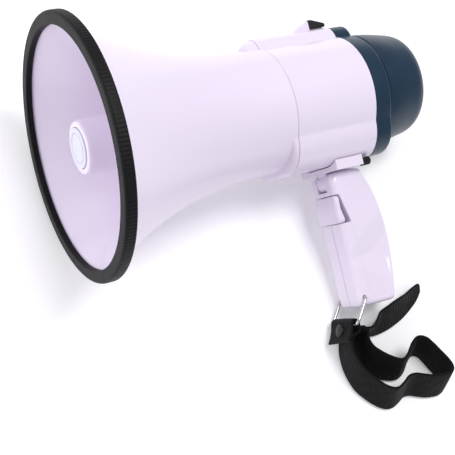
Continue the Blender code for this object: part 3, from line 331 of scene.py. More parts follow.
def smooth_line(points: Sequence[Sequence[float]], per_span: int) -> Array:
    """A curve through points: each span is the Catmull-Rom cubic of the four points about it.

    Args:
        points: rows of numbers that the curve passes through.
        per_span: steps in each span.

    Returns:
        The curve's rows, the last point among them.
    """
    rows = np.array([points[0], *points, points[-1]], float)
    before, here, ahead, after = (rows[i : len(rows) - 3 + i, None] for i in range(4))
    t = (np.arange(per_span) / per_span)[None, :, None]
    spans = 0.5 * (2 * here + (ahead - before) * t + (2 * before - 5 * here + 4 * ahead - after) * t**2
                   + (3 * here - before - 3 * ahead + after) * t**3)
    return np.concatenate([spans.reshape(-1, rows.shape[1]), rows[-2:-1]])


def rounded(corners: Sequence[tuple[float, float, float]], closed: bool = True, steps: int = 5) -> Array:
    """An outline with round corners: each corner becomes a parabola between points a radius away from it.

    Args:
        corners: the corners as (first, second, radius).
        closed: whether the last corner joins the first.
        steps: points in each round.

    Returns:
        The outline's points, two numbers each.
    """
    points = np.array([corner[:2] for corner in corners], float)
    t = np.linspace(0.0, 1.0, steps)[:, None]
    out = []
    for i, (_, _, radius) in enumerate(corners):
        here = points[i]
        if radius <= 0 or (not closed and i in (0, len(points) - 1)):
            out.append(here[None])
            continue
        ends = []
        for other in (points[i - 1], points[(i + 1) % len(points)]):
            away = other - here
            length = np.linalg.norm(away)
            ends.append(here + away * min(radius, 0.48 * length) / length)
        out.append((1 - t) ** 2 * ends[0] + 2 * t * (1 - t) * here + t**2 * ends[1])
    return np.concatenate(out)


def turned(profile: Array, steps: int) -> Array:
    """A surface of revolution: point = (r cos a, distance, r sin a) for each profile row and each angle a.

    Args:
        profile: rows of (radius, distance).
        steps: points round the axis.

    Returns:
        A grid of points, profile rows by angles.
    """
    angle = np.arange(steps) * TURN / steps
    radius, distance = profile[:, :1], profile[:, 1:2]
    return np.stack([radius * np.cos(angle), distance + 0.0 * angle, radius * np.sin(angle)], axis=-1)


def carried(section: Array, path: Array, across: Array, over: Array) -> Array:
    """A section carried along a path: point = path + first x across + second x over.

    Args:
        section: rows of two numbers.
        path: the path's points.
        across: the section's first direction at each path point.
        over: the section's second direction at each path point.

    Returns:
        A grid of points, path rows by section rows.
    """
    return path[:, None] + section[None, :, :1] * across[:, None] + section[None, :, 1:2] * over[:, None]


def along(path: Array) -> Array:
    """Unit directions along a path, by central differences."""
    step = np.gradient(path, axis=0)
    return step / np.linalg.norm(step, axis=1, keepdims=True)


class Piece:
    """A finished mesh that rides on a body and stands for a CAD node."""

    def __init__(self, name: str, finish: Finish, body: str, replaces: Sequence[str] = ()) -> None:
        """Keeps what the piece is and what it stands for.

        Args:
            name: the piece's name.
            finish: its finish.
            body: the CAD body that it rides on.
            replaces: the CAD nodes that it stands for.
        """
        self.name, self.finish, self.body, self.nodes = name, finish, body, tuple(replaces)
        self.points: list[Array] = []
        self.faces: list[Array] = []
        self.flats: list[Array] = []
        self.count = 0

    def surface(self, grid: Array, wrap_rows: bool = False, wrap_columns: bool = True,
                uv: Array | None = None, held: bool = True) -> "Piece":
        """Adds a grid surface: each cell of the grid is one face of four corners.

        Args:
            grid: points, rows by columns.
            wrap_rows: whether the last row joins the first.
            wrap_columns: whether the last column joins the first.
            uv: two numbers for each point of the grid, where a pattern follows the surface.
            held: whether the points are in the held axes, and not in the row frame.

        Returns:
            The piece itself.
        """
        rows, columns = grid.shape[:2]
        index = np.arange(rows * columns).reshape(rows, columns)
        if wrap_rows:
            index = np.concatenate([index, index[:1]])
        if wrap_columns:
            index = np.concatenate([index, index[:, :1]], axis=1)
        corners = np.stack([index[:-1, :-1], index[:-1, 1:], index[1:, 1:], index[1:, :-1]], axis=-1)
        quads = corners.reshape(-1, 4)
        points = grid.reshape(-1, 3)
        middle = points.mean(axis=0)
        a, b, c, d = (points[quads[:, i]] - middle for i in range(4))
        if (np.cross(a, b) * c).sum() + (np.cross(a, c) * d).sum() < 0:
            quads = quads[:, ::-1]
        self.points.append(AXES.place(points) if held else points)
        self.faces.append(quads + self.count)
        self.flats.append(np.zeros((len(points), 2)) if uv is None else uv.reshape(-1, 2))
        self.count += len(points)
        return self

    def done(self, sharp: float = 32.0, bevel: float = 0.0) -> bpy.types.Object:
        """Puts the surfaces into one mesh object with its finish, body and CAD nodes.

        Args:
            sharp: the angle in degrees past which an edge stays sharp.
            bevel: the width of a last rounding of the edges, or zero.

        Returns:
            The finished object.
        """
        points = np.concatenate(self.points)
        faces = np.concatenate(self.faces)
        mesh = bpy.data.meshes.new(self.name)
        mesh.from_pydata(points, [], faces)
        layer = mesh.uv_layers.new(name="flat")
        flat = np.concatenate(self.flats)[faces.reshape(-1)]
        layer.data.foreach_set("uv", flat.astype(np.float32).reshape(-1))
        welded = bmesh.new()
        welded.from_mesh(mesh)
        bmesh.ops.remove_doubles(welded, verts=welded.verts, dist=2e-6)
        bmesh.ops.dissolve_degenerate(welded, edges=welded.edges, dist=1e-7)
        welded.to_mesh(mesh)
        welded.free()
        obj = bpy.data.objects.new(self.name, mesh)
        bpy.context.scene.collection.objects.link(obj)
        return dress(obj, self.finish, self.body, self.nodes, sharp, bevel)


def dress(obj: bpy.types.Object, finish: Finish, body: str, nodes: Sequence[str], sharp: float = 32.0,
          bevel: float = 0.0) -> bpy.types.Object:
    """Gives an object its finish, its body and the CAD nodes that it stands for.

    Args:
        obj: a mesh object in its place.
        finish: its finish.
        body: the CAD body that it rides on.
        nodes: the CAD nodes that it stands for.
        sharp: the angle in degrees past which an edge stays sharp.
        bevel: the width of a last rounding of the edges, or zero.

    Returns:
        The same object.
    """
    mesh = obj.data
    mesh.materials.clear()
    mesh.materials.append(finish.material())
    mesh.shade_smooth()
    mesh.set_sharp_from_angle(angle=math.radians(sharp))
    if bevel > 0:
        edges = obj.modifiers.new("edges", "BEVEL")
        edges.width = bevel
        edges.segments = 3
        edges.limit_method = "ANGLE"
        edges.angle_limit = math.radians(40)
        edges.harden_normals = True
    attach(obj, body)
    if nodes:
        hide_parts(*nodes)
    LOG.info("%s: %d faces", obj.name, len(mesh.polygons))
    return obj


def settled(obj: bpy.types.Object) -> bpy.types.Object:
    """Applies an object's modifiers, so that its mesh is what shows.

    Args:
        obj: the object, with its modifiers still live.

    Returns:
        The same object.
    """
    graph = bpy.context.evaluated_depsgraph_get()
    graph.update()
    mesh = bpy.data.meshes.new_from_object(obj.evaluated_get(graph))
    obj.modifiers.clear()
    obj.data = mesh
    return obj


def cad_copy(name: str, node: str, finish: Finish, body: str, bevel: float) -> bpy.types.Object:
    """A CAD solid as a finished piece: its triangles merged to flat faces, and its edges rounded.

    Args:
        name: the new piece's name.
        node: the CAD node.
        finish: the piece's finish.
        body: the CAD body that it rides on.
        bevel: the width of the rounding.

    Returns:
        The finished object.
    """
    mesh = frame["nodes"][node].data.copy()
    merged = bmesh.new()
    merged.from_mesh(mesh)
    bmesh.ops.remove_doubles(merged, verts=merged.verts, dist=2e-6)
    bmesh.ops.dissolve_limit(merged, angle_limit=math.radians(1.0), verts=merged.verts, edges=merged.edges)
    merged.to_mesh(mesh)
    merged.free()
    obj = bpy.data.objects.new(name, mesh)
    bpy.context.scene.collection.objects.link(obj)
    dress(obj, finish, body, (node,), bevel=bevel)
    return settled(obj)


def carve(obj: bpy.types.Object, cutters: Sequence[bpy.types.Object]) -> bpy.types.Object:
    """Cuts closed shapes out of an object and removes them.

    Args:
        obj: the object that is cut.
        cutters: closed meshes.

    Returns:
        The cut object.
    """
    for shape in cutters:
        step = obj.modifiers.new("cut", "BOOLEAN")
        step.operation = "DIFFERENCE"
        step.solver = "MANIFOLD"
        step.object = shape
    settled(obj)
    for shape in cutters:
        bpy.data.objects.remove(shape)
    return obj


def cutter(grid: Array, wrap_rows: bool = False) -> bpy.types.Object:
    """A closed shape in the held axes, used only to cut.

    Args:
        grid: points, rows by columns, whose columns close on themselves.
        wrap_rows: whether the last row joins the first.

    Returns:
        A mesh object with no finish.
    """
    shape = Piece("cutter", WHITE_ABS, "housing").surface(grid, wrap_rows)
    mesh = bpy.data.meshes.new("cutter")
    mesh.from_pydata(shape.points[0], [], shape.faces[0])
    welded = bmesh.new()
    welded.from_mesh(mesh)
    bmesh.ops.remove_doubles(welded, verts=welded.verts, dist=2e-6)
    welded.to_mesh(mesh)
    welded.free()
    obj = bpy.data.objects.new("cutter", mesh)
    bpy.context.scene.collection.objects.link(obj)
    return obj


def cross_rod(radius: float, low: float, high: float, y: float, z: float, steps: int = 32) -> Array:
    """A closed cylinder across the handle: point = (x, y + r cos a, z + r sin a), ends on its axis.

    Args:
        radius: its radius.
        low: its lowest X.
        high: its highest X.
        y: the axis's Y.
        z: the axis's Z.
        steps: points round it.

    Returns:
        A grid of points.
    """
    angle = np.arange(steps) * TURN / steps
    radii = np.array([0.0, radius, radius, 0.0])[:, None]
    places = np.array([low, low, high, high])[:, None]
    return np.stack([places + 0.0 * angle, y + radii * np.cos(angle), z + radii * np.sin(angle)], axis=-1)


def crate(low: Sequence[float], high: Sequence[float]) -> Array:
    """A closed box between two corners, as four columns of corners with its ends drawn to their middles.

    Args:
        low: the lowest corner.
        high: the highest corner.

    Returns:
        A grid of points that closes on itself.
    """
    low, high = np.array(low, float), np.array(high, float)
    ring = np.array([(0, 0), (1, 0), (1, 1), (0, 1)], float)
    middle = np.full((4, 2), 0.5)
    rows = [(middle, 0.0), (ring, 0.0), (ring, 1.0), (middle, 1.0)]
    unit = np.stack([np.column_stack([side[:, 0], side[:, 1], np.full(4, end)]) for side, end in rows])
    return low + unit * (high - low)


# ------------------------------------------------------------------ how bail and strap lie
# Low edge X, Y and height, then the lean of the upper edge in X and Y, in the lying axes
STRAP_ROUTE = (
    (0.1395, 0.1424, 0.0040, 0.22, 0.20),
    (0.1450, 0.1440, 0.0028, 0.10, 0.24),
    (0.1510, 0.1440, 0.0016, -0.12, 0.26),
    (0.1575, 0.1430, 0.0010, -0.30, 0.28),
    (0.1640, 0.1428, 0.0010, -0.42, 0.28),
    (0.1701, 0.1448, 0.0010, -0.47, 0.26),
    (0.1745, 0.1484, 0.0010, -0.48, 0.24),
    (0.1780, 0.1524, 0.0010, -0.47, 0.22),
    (0.1802, 0.1566, 0.0010, -0.46, 0.16),
    (0.1820, 0.1612, 0.0010, -0.44, 0.10),
    (0.1822, 0.1660, 0.0010, -0.42, 0.04),
    (0.1795, 0.1708, 0.0010, -0.41, 0.00),
    (0.1745, 0.1754, 0.0010, -0.40, 0.00),
    (0.1716, 0.1800, 0.0010, -0.39, 0.02),
    (0.1735, 0.1842, 0.0010, -0.38, 0.05),
    (0.1785, 0.1868, 0.0010, -0.37, 0.08),
    (0.1840, 0.1890, 0.0010, -0.36, 0.10),
    (0.1895, 0.1914, 0.0010, -0.35, 0.11),
    (0.1945, 0.1930, 0.0010, -0.36, 0.10),
    (0.1988, 0.1922, 0.0010, -0.40, 0.09),
    (0.2008, 0.1880, 0.0010, -0.45, 0.08),
    (0.2004, 0.1832, 0.0010, -0.47, 0.07),
    (0.1992, 0.1784, 0.0010, -0.48, 0.06),
    (0.1970, 0.1736, 0.0010, -0.48, 0.06),
    (0.1948, 0.1690, 0.0010, -0.47, 0.06),
    (0.1945, 0.1645, 0.0010, -0.46, 0.06),
    (0.1968, 0.1598, 0.0010, -0.45, 0.07),
    (0.1984, 0.1548, 0.0010, -0.44, 0.09),
    (0.1974, 0.1500, 0.0010, -0.43, 0.12),
    (0.1938, 0.1453, 0.0010, -0.42, 0.14),
    (0.1880, 0.1404, 0.0010, -0.42, 0.15),
    (0.1806, 0.1360, 0.0010, -0.42, 0.15),
    (0.1728, 0.1340, 0.0010, -0.42, 0.14),
    (0.1648, 0.1334, 0.0010, -0.38, 0.14),
    (0.1565, 0.1344, 0.0010, -0.26, 0.15),
    (0.1505, 0.1362, 0.0014, -0.08, 0.17),
    (0.1450, 0.1385, 0.0024, 0.10, 0.19),
    (0.1405, 0.1396, 0.0036, 0.21, 0.20),
    (0.1364, 0.1399, 0.0045, 0.22, 0.20),
    (0.1346, 0.1392, 0.0049, 0.22, 0.20),
    (0.1340, 0.1376, 0.0053, 0.22, 0.20),
    (0.1346, 0.1360, 0.0054, 0.22, 0.20),
    (0.1364, 0.1351, 0.0051, 0.22, 0.20),
    (0.1402, 0.1336, 0.0046, 0.21, 0.20),
    (0.1440, 0.1316, 0.0040, 0.18, 0.21),
    (0.1475, 0.1292, 0.0034, 0.14, 0.22),
)
TAIL_ROUTE = (
    (0.1424, 0.1471, 0.0044, 0.20, 0.20),
    (0.1465, 0.1504, 0.0034, 0.02, 0.20),
    (0.1500, 0.1556, 0.0022, -0.28, 0.14),
    (0.1512, 0.1620, 0.0012, -0.48, 0.06),
    (0.1502, 0.1718, 0.0010, -0.54, 0.00),
    (0.1474, 0.1816, 0.0010, -0.58, -0.02),
    (0.1444, 0.1882, 0.0010, -0.64, -0.02),
    (0.1392, 0.1968, 0.0012, -0.74, -0.02),
    (0.1340, 0.2022, 0.0016, -0.80, 0.00),
)
LYING_HEIGHT = 0.078572
STRAP_WIDTH = 0.025
TAIL_TAPER = 0.74
# About how much of its full-width strip the tapered tail covers
BAIL_REACH = 0.018
BAIL_LEAN = 37.0
BAIL_SPREAD = (0.0149, 0.0149)


# ------------------------------------------------------------------ the body's section
@dataclass(frozen=True)
class BodySection:
    """The body's outline about the horn axis: a round tube, a flat-bottomed pod and a round ridge."""

    radius: float = 0.0392
    pod_half_width: float = 0.0323
    pod_drop: float = 0.0433
    pod_corner: float = 0.022
    ridge_radius: float = 0.012
    ridge_height: float = 0.0465
    fillet: float = 0.0006

    def reach(self, angle: Array, inset: float = 0.0, tube: Array | float | None = None) -> Array:
        """The distance from the axis to the outline: the greatest of tube, pod and ridge, filleted.

        Args:
            angle: angles about the axis, from +X towards +Z.
            inset: how far inside the outline to measure.
            tube: another radius for the round tube, or None.

        Returns:
            The distance at each angle.
        """
        tube = self.radius - inset if tube is None else tube
        pod = self._pod(angle, inset)
        top = self._ridge(angle, self.ridge_radius - inset)
        return self._larger(self._larger(tube + 0.0 * angle, pod), top)

    def _larger(self, first: Array, second: Array) -> Array:
        """The larger of two distances, rounded off where they are nearly the same."""
        return 0.5 * (first + second + np.sqrt((first - second) ** 2 + self.fillet**2)) - self.fillet / 4

    def _pod(self, angle: Array, inset: float) -> Array:
        """A ray from the axis to the pod: its side, its round corner or its flat bottom.

        Args:
            angle: directions about the horn axis.
            inset: how far inside the outer face.

        Returns:
            A distance for each direction.
        """
        half, low, corner = self.pod_half_width - inset, self.pod_drop - inset, self.pod_corner - inset
        flat = np.maximum(np.abs(np.cos(angle)), 1e-9)
        down = np.maximum(-np.sin(angle), 1e-9)
        side, bottom = half / flat, low / down
        centre = (half - corner, low - corner)
        facing = flat * centre[0] + down * centre[1]
        inside = np.maximum(facing**2 - (centre[0] ** 2 + centre[1] ** 2 - corner**2), 0.0)
        curve = facing + np.sqrt(inside)
        on_side = side * down < centre[1]
        on_bottom = bottom * flat < centre[0]
        reach = np.where(on_side, side, np.where(on_bottom, bottom, curve))
        return np.where(np.sin(angle) < -0.25, reach, 0.0)

    def _ridge(self, angle: Array, radius: float) -> Array:
        """A ray from the axis to the far side of the ridge's circle, or nothing where it misses.

        Args:
            angle: directions about the horn axis.
            radius: the ridge's own radius.

        Returns:
            A distance for each direction, or zero.
        """
        centre = self.ridge_height - self.ridge_radius
        facing = centre * np.sin(angle)
        inside = facing**2 - (centre**2 - radius**2)
        return np.where((inside > 0) & (facing > 0), facing + np.sqrt(np.maximum(inside, 0.0)), 0.0)


def around(reach: Array, distance: Array, angle: Array) -> Array:
    """A surface about the horn axis: point = (reach cos a, distance, reach sin a)."""
    return np.stack([reach * np.cos(angle), distance + 0.0 * angle, reach * np.sin(angle)], axis=-1)


# ------------------------------------------------------------------ horn
@dataclass
class Horn:
    """Flared bell, rubber mouth bumper, and the reflector cup on the throat tube."""

    section: BodySection = field(default_factory=BodySection)
    mouth_radius: float = 0.0770
    length: float = 0.130
    front: float = 0.0015
    power: float = 2.55
    wall: float = 0.0022
    ridge_start: float = 0.123
    ridge_nose: float = 0.011
    pod_nose: float = 0.0035
    bumper_radius: float = 0.079
    bumper_bore: float = 0.071
    flute_count: int = 210
    flute_depth: float = 0.00012
    cup_radius: float = 0.016
    cup_front: float = 0.005
    cup_length: float = 0.052
    face_radius: float = 0.012

    def flare(self, distance: Array) -> Array:
        """The bell's outer radius: the body's radius plus a power of the distance left to the body."""
        share = np.clip(1.0 - distance / self.length, 0.0, 1.0)
        return self.section.radius + (self.mouth_radius - self.section.radius) * share**self.power

    def bell(self) -> bpy.types.Object:
        """Outer skin with the noses of pod and ridge, and an inner skin one wall inside it.

        Returns:
            The bell.
        """
        angle = (np.arange(288) * TURN / 288)[None]
        rear = self.length - 0.00015
        distance = np.concatenate([
            self.front + (0.119 - self.front) * np.linspace(0.0, 1.0, 70)[:-1] ** 1.2,
            np.linspace(0.119, rear - 0.0003, 34)])[:, None]
        tube = self.flare(distance)
        body = self.section.reach(angle) - self.section.radius
        full = self.ridge_start + self.ridge_nose
        rise_top = np.sqrt(np.clip(1.0 - ((full - distance) / self.ridge_nose) ** 2, 0.0, 1.0))
        rise_low = np.sqrt(np.clip(1.0 - ((self.length - distance) / self.pod_nose) ** 2, 0.0, 1.0))
        rise = np.where(np.sin(angle) > 0, rise_top * (distance > self.ridge_start),
                        rise_low * (distance > self.length - self.pod_nose))
        outer = around(tube + np.maximum(body, 0.0) * rise, distance, angle)
        edge = around(outer_reach(outer[-1]) - 0.0003, np.array([[rear]]), angle)
        slope = np.gradient(tube[:, 0], distance[:, 0])[:, None]
        scale = np.hypot(1.0, slope)
        inner_radius, inner_distance = tube - self.wall / scale, distance + self.wall * slope / scale
        inner_radius = np.where(inner_distance < self.front, self.flare(self.front) - self.wall, inner_radius)
        inner_distance = np.clip(inner_distance, self.front, rear)
        inner_distance[-1] = rear
        inner = around(inner_radius[::-1] + 0.0 * angle, inner_distance[::-1], angle)
        grid = np.concatenate([outer, edge, inner])
        return Piece("bell_skin", HORN_ABS, "housing", ["horn_bell"]).surface(grid, wrap_rows=True).done()

    def bumper(self) -> bpy.types.Object:
        """Moulded rubber ring whose outer band and front face carry fine radial flutes.

        Returns:
            The ring.
        """
        first = float(self.flare(np.array(self.front)))
        last = float(self.flare(np.array(0.006)))
        gap = 0.0006
        outline = rounded([
            (self.bumper_bore, -0.001, 0.0009), (self.bumper_radius, -0.001, 0.0022),
            (self.bumper_radius, 0.006, 0.0010), (last + gap, 0.006, 0.0003), (first + gap, 0.0012, 0.0002),
            (first - self.wall - gap, 0.0012, 0.0002), (self.bumper_bore, 0.0032, 0.0008)], steps=7)
        profile = np.concatenate([outline, outline[:1]])
        fine = np.linspace(0.0, 1.0, 6)[:-1, None]
        spans = profile[:-1, None] * (1 - fine) + profile[1:, None] * fine
        profile = spans.reshape(-1, 2)
        steps = self.flute_count * 8
        grid = turned(profile, steps)
        angle = np.arange(steps) * TURN / steps
        wave = 0.5 - 0.5 * np.cos(self.flute_count * angle)
        on_front = np.clip((0.0004 - profile[:, 1]) / 0.001, 0.0, 1.0)
        on_band = np.clip((profile[:, 0] - self.bumper_radius + 0.0012) / 0.0008, 0.0, 1.0)
        share = np.maximum(on_front * 0.6, on_band)[:, None] * wave[None] * self.flute_depth
        inward = grid * np.array([1.0, 0.0, 1.0]) / np.maximum(profile[:, :1, None], 1e-6)
        grid = grid - inward * (share * (on_band[:, None] > 0))[..., None]
        grid[..., 1] += share * (on_front[:, None] > 0) * 0.8
        return Piece("bumper_ring", RUBBER, "housing", ["mouth_bumper"]).surface(grid, wrap_rows=True).done()

    def cup(self) -> list[bpy.types.Object]:
        """Reflector cup with a grooved face disc, and the sound tube behind it.

        Returns:
            The pieces of the cup and its tube.
        """
        rear = self.cup_front + self.cup_length
        wall = self.wall
        shell = rounded([
            (0.0, self.cup_front + 0.0016, 0.0), (self.face_radius + 0.0003, self.cup_front + 0.0016, 0.0002),
            (self.face_radius + 0.0003, self.cup_front, 0.0002), (self.cup_radius, self.cup_front, 0.0032),
            (self.cup_radius + 0.001, rear, 0.0006), (self.cup_radius + 0.001 - wall, rear, 0.0006),
            (self.cup_radius - wall, self.cup_front + 0.008, 0.004),
            (0.0, self.cup_front + 0.0045, 0.0)], closed=False, steps=8)
        face = self.cup_front - 0.0008
        disc = rounded([
            (0.0, face + 0.0021, 0.0), (self.face_radius, face + 0.0021, 0.0002),
            (self.face_radius, face, 0.0006), (0.0092, face, 0.0002), (0.0090, face + 0.0005, 0.0001),
            (0.0084, face + 0.0005, 0.0001), (0.0082, face, 0.0002), (0.0, face, 0.0)], closed=False)
        tube = rounded([
            (0.0054, 0.026, 0.0003), (0.0068, 0.026, 0.0003), (0.0072, 0.101, 0.004),
            (0.0132, 0.1021, 0.0004),
            (0.0132, 0.1037, 0.0002), (0.0054, 0.1037, 0.0002)])
        return [
            Piece("cup_shell", WHITE_ABS, "housing", ["reflex_cup"]).surface(turned(shell, 96)).done(),
            Piece("cup_disc", PALE_BLUE_ABS, "housing", ["cup_face"]).surface(turned(disc, 96)).done(),
            Piece("sound_tube", HORN_ABS, "housing", ["throat_tube"]).surface(turned(tube, 72), True).done(),
        ]

    def build(self) -> None:
        """Makes the horn's pieces."""
        self.bell()
        self.bumper()
        self.cup()


def outer_reach(row: Array) -> Array:
    """Distances of a row of points from the horn axis."""
    return np.hypot(row[..., 0], row[..., 2])


def slice_of(outline: Array, half: float, edge: float) -> Array:
    """A flat outline of (Y, Z) as thick as twice half, with its two faces rounded into its rim.

    Args:
        outline: the closed outline.
        half: half its thickness.
        edge: the radius of its edges.

    Returns:
        A grid of points, closed at the outline's middle on both faces.
    """
    middle = outline.mean(axis=0)
    turns = np.linspace(0.0, math.pi / 2, 5)
    inset = np.concatenate([edge * (1 - np.sin(turns)), edge * (1 - np.sin(turns[::-1]))])
    places = np.concatenate([-half + edge * (1 - np.cos(turns)), half - edge * (1 - np.cos(turns[::-1]))])
    reach = np.linalg.norm(outline - middle, axis=1)
    rows = [np.column_stack([np.full(len(outline), place),
                             middle + (outline - middle) * (1 - gap / reach)[:, None]])
            for place, gap in zip(places, inset)]
    ends = [np.column_stack([np.full(len(outline), x), np.tile(middle, (len(outline), 1))])
            for x in (-half, half)]
    return np.stack([ends[0], *rows, ends[1]])


# ------------------------------------------------------------------ rear body
@dataclass
class RearBody:
    """Rear housing with its strap lug, the petrol cap, and the microphone hood."""

    section: BodySection = field(default_factory=BodySection)
    front: float = 0.13015
    rear: float = 0.188
    cap_front: float = 0.1883
    cap_rear: float = 0.2008
    cap_inset: float = 0.0006
    wall: float = 0.0022
    hood_front: float = 0.2011
    hood_length: float = 0.0318
    hood_radius: float = 0.0366
    lip_radius: float = 0.0310
    rise: float = 0.0015
    steps: int = 360

    def shell(self, stations: Sequence[tuple[float, float, float]]) -> Array:
        """A shell of the body's section: each station is (distance, inset, scale about the axis).

        Args:
            stations: the shell's profile as distance, inset from the outline, and scale.

        Returns:
            A grid of points.
        """
        angle = (np.arange(self.steps) * TURN / self.steps)[None]
        rows = [around(self.section.reach(angle, inset) * scale, np.array([[distance]]), angle)
                for distance, inset, scale in stations]
        return np.concatenate(rows)

    def housing(self) -> bpy.types.Object:
        """White tube with pod and ridge, its ends slightly chamfered, and the fin that backs the lug.

        Returns:
            The housing.
        """
        chamfer = 0.0004
        outer = [(self.front, chamfer, 1.0), (self.front + chamfer, 0.0, 1.0)]
        outer += [(y, 0.0, 1.0) for y in np.linspace(self.front, self.rear, 8)[1:-1]]
        outer += [(self.rear - chamfer, 0.0, 1.0), (self.rear, chamfer, 1.0)]
        inner = [(self.rear, self.wall, 1.0), (self.front, self.wall, 1.0)]
        piece = Piece("housing_shell", WHITE_ABS, "housing", ["rear_housing"])
        piece.surface(self.shell(outer + inner), wrap_rows=True)
        high, top = self.section.ridge_height, self.section.ridge_height + 0.0055
        fin_rear = self.rear - 0.0135
        side = rounded([(fin_rear - 0.013, high - 0.0012, 0.0), (fin_rear - 0.0115, high + 0.0002, 0.001),
                        (fin_rear - 0.002, top, 0.0015), (fin_rear, top - 0.0006, 0.0005),
                        (fin_rear, high - 0.0012, 0.0)])
        piece.surface(slice_of(side, 0.0045, 0.0006))
        return piece.done()

    def cap(self) -> bpy.types.Object:
        """Petrol end cap: the same section a little inside, its rear edge rounded, hollow from the front.

        Returns:
            The cap.
        """
        radius = 0.0022
        turns = np.linspace(0.0, math.pi / 2, 7)
        inset = self.cap_inset
        outer = [(self.cap_front, inset + 0.0003, 1.0), (self.cap_front + 0.0003, inset, 1.0)]
        outer += [(self.cap_rear - radius * (1 - math.sin(t)), inset + radius * (1 - math.cos(t)), 1.0)
                  for t in turns]
        outer += [(self.cap_rear, inset + radius, share) for share in (0.9, 0.6, 0.3, 0.0)]
        inner = [(self.cap_rear - self.wall, inset + self.wall, share) for share in (0.0, 0.5, 1.0)]
        inner += [(self.cap_front, inset + self.wall, 1.0)]
        grid = self.shell(outer + inner)
        return Piece("cap_shell", TEAL_ABS, "rear_cover", ["rear_cap"]).surface(grid, wrap_rows=True).done()

    def hood(self) -> bpy.types.Object:
        """Microphone hood: a bowl of revolution, drawn in to a rolled lip at its open rear.

        Returns:
            The hood.
        """
        front, rear = self.hood_front, self.hood_front + self.hood_length
        lip = self.lip_radius
        outer = smooth_line([
            (self.hood_radius, front), (self.hood_radius - 0.0002, front + 0.006),
            (self.hood_radius - 0.0010, front + 0.013), (self.hood_radius - 0.0022, front + 0.020),
            (lip + 0.0022, rear - 0.0055), (lip + 0.0009, rear - 0.0022), (lip - 0.0005, rear - 0.0004),
            (lip - 0.0017, rear), (lip - 0.0026, rear - 0.0012), (lip - 0.0016, rear - 0.005),
            (self.hood_radius - 0.0046, front + 0.020), (self.hood_radius - 0.0034, front + 0.010),
            (self.hood_radius - 0.0034, front + 0.0035), (self.hood_radius - 0.0050, front + self.wall)], 5)
        profile = np.concatenate([[(0.0, front), (self.hood_radius - 0.0008, front)], outer[1:],
                                  [(0.0, front + self.wall)]])
        grid = turned(profile, 144) + np.array([0.0, 0.0, self.rise])
        return Piece("hood_bowl", TEAL_ABS, "rear_cover", ["mic_hood"]).surface(grid).done()

    def microphone(self) -> None:
        """Bezel and punched grille in the hood."""
        base = self.hood_front + self.wall + 0.0003
        seat = 0.0130
        lift = np.array([0.0, 0.0, self.rise])
        bezel = rounded([
            (0.0, base, 0.0), (self.hood_radius - 0.0048, base, 0.0003),
            (self.hood_radius - 0.0052, base + 0.0012, 0.0005), (seat + 0.006, base + 0.0030, 0.003),
            (seat + 0.0030, base + 0.0055, 0.0012), (seat + 0.0004, base + 0.0060, 0.0008),
            (seat, base + 0.0030, 0.0002), (0.0062, base + 0.0030, 0.0003), (0.0062, base + 0.0010, 0.0002),
            (0.0, base + 0.0010, 0.0)], closed=False)
        Piece("bezel_ring", BLACK_ABS, "rear_cover", ["mic_bezel"]).surface(turned(bezel, 96) + lift).done()
        bow = np.linspace(0.0, math.pi / 2, 16)
        dome = np.column_stack([0.0125 * np.sin(bow), base + 0.0064 + 0.0022 * np.cos(bow)])
        under = dome[::-1] * (0.94, 1.0) - (0.0, 0.0005)
        under[0, 1] = dome[-1, 1] - 0.0001
        plate = turned(np.concatenate([dome, under]), 96) + lift
        Piece("grille_dome", GRILLE, "rear_cover", ["mic_grille"]).surface(plate).done()

    def build(self) -> None:
        """Makes the rear body's pieces."""
        self.housing()
        cad_copy("lug_tab", "strap_lug", BLACK_ABS, "housing", 0.0005)
        self.cap()
        self.hood()
        self.microphone()


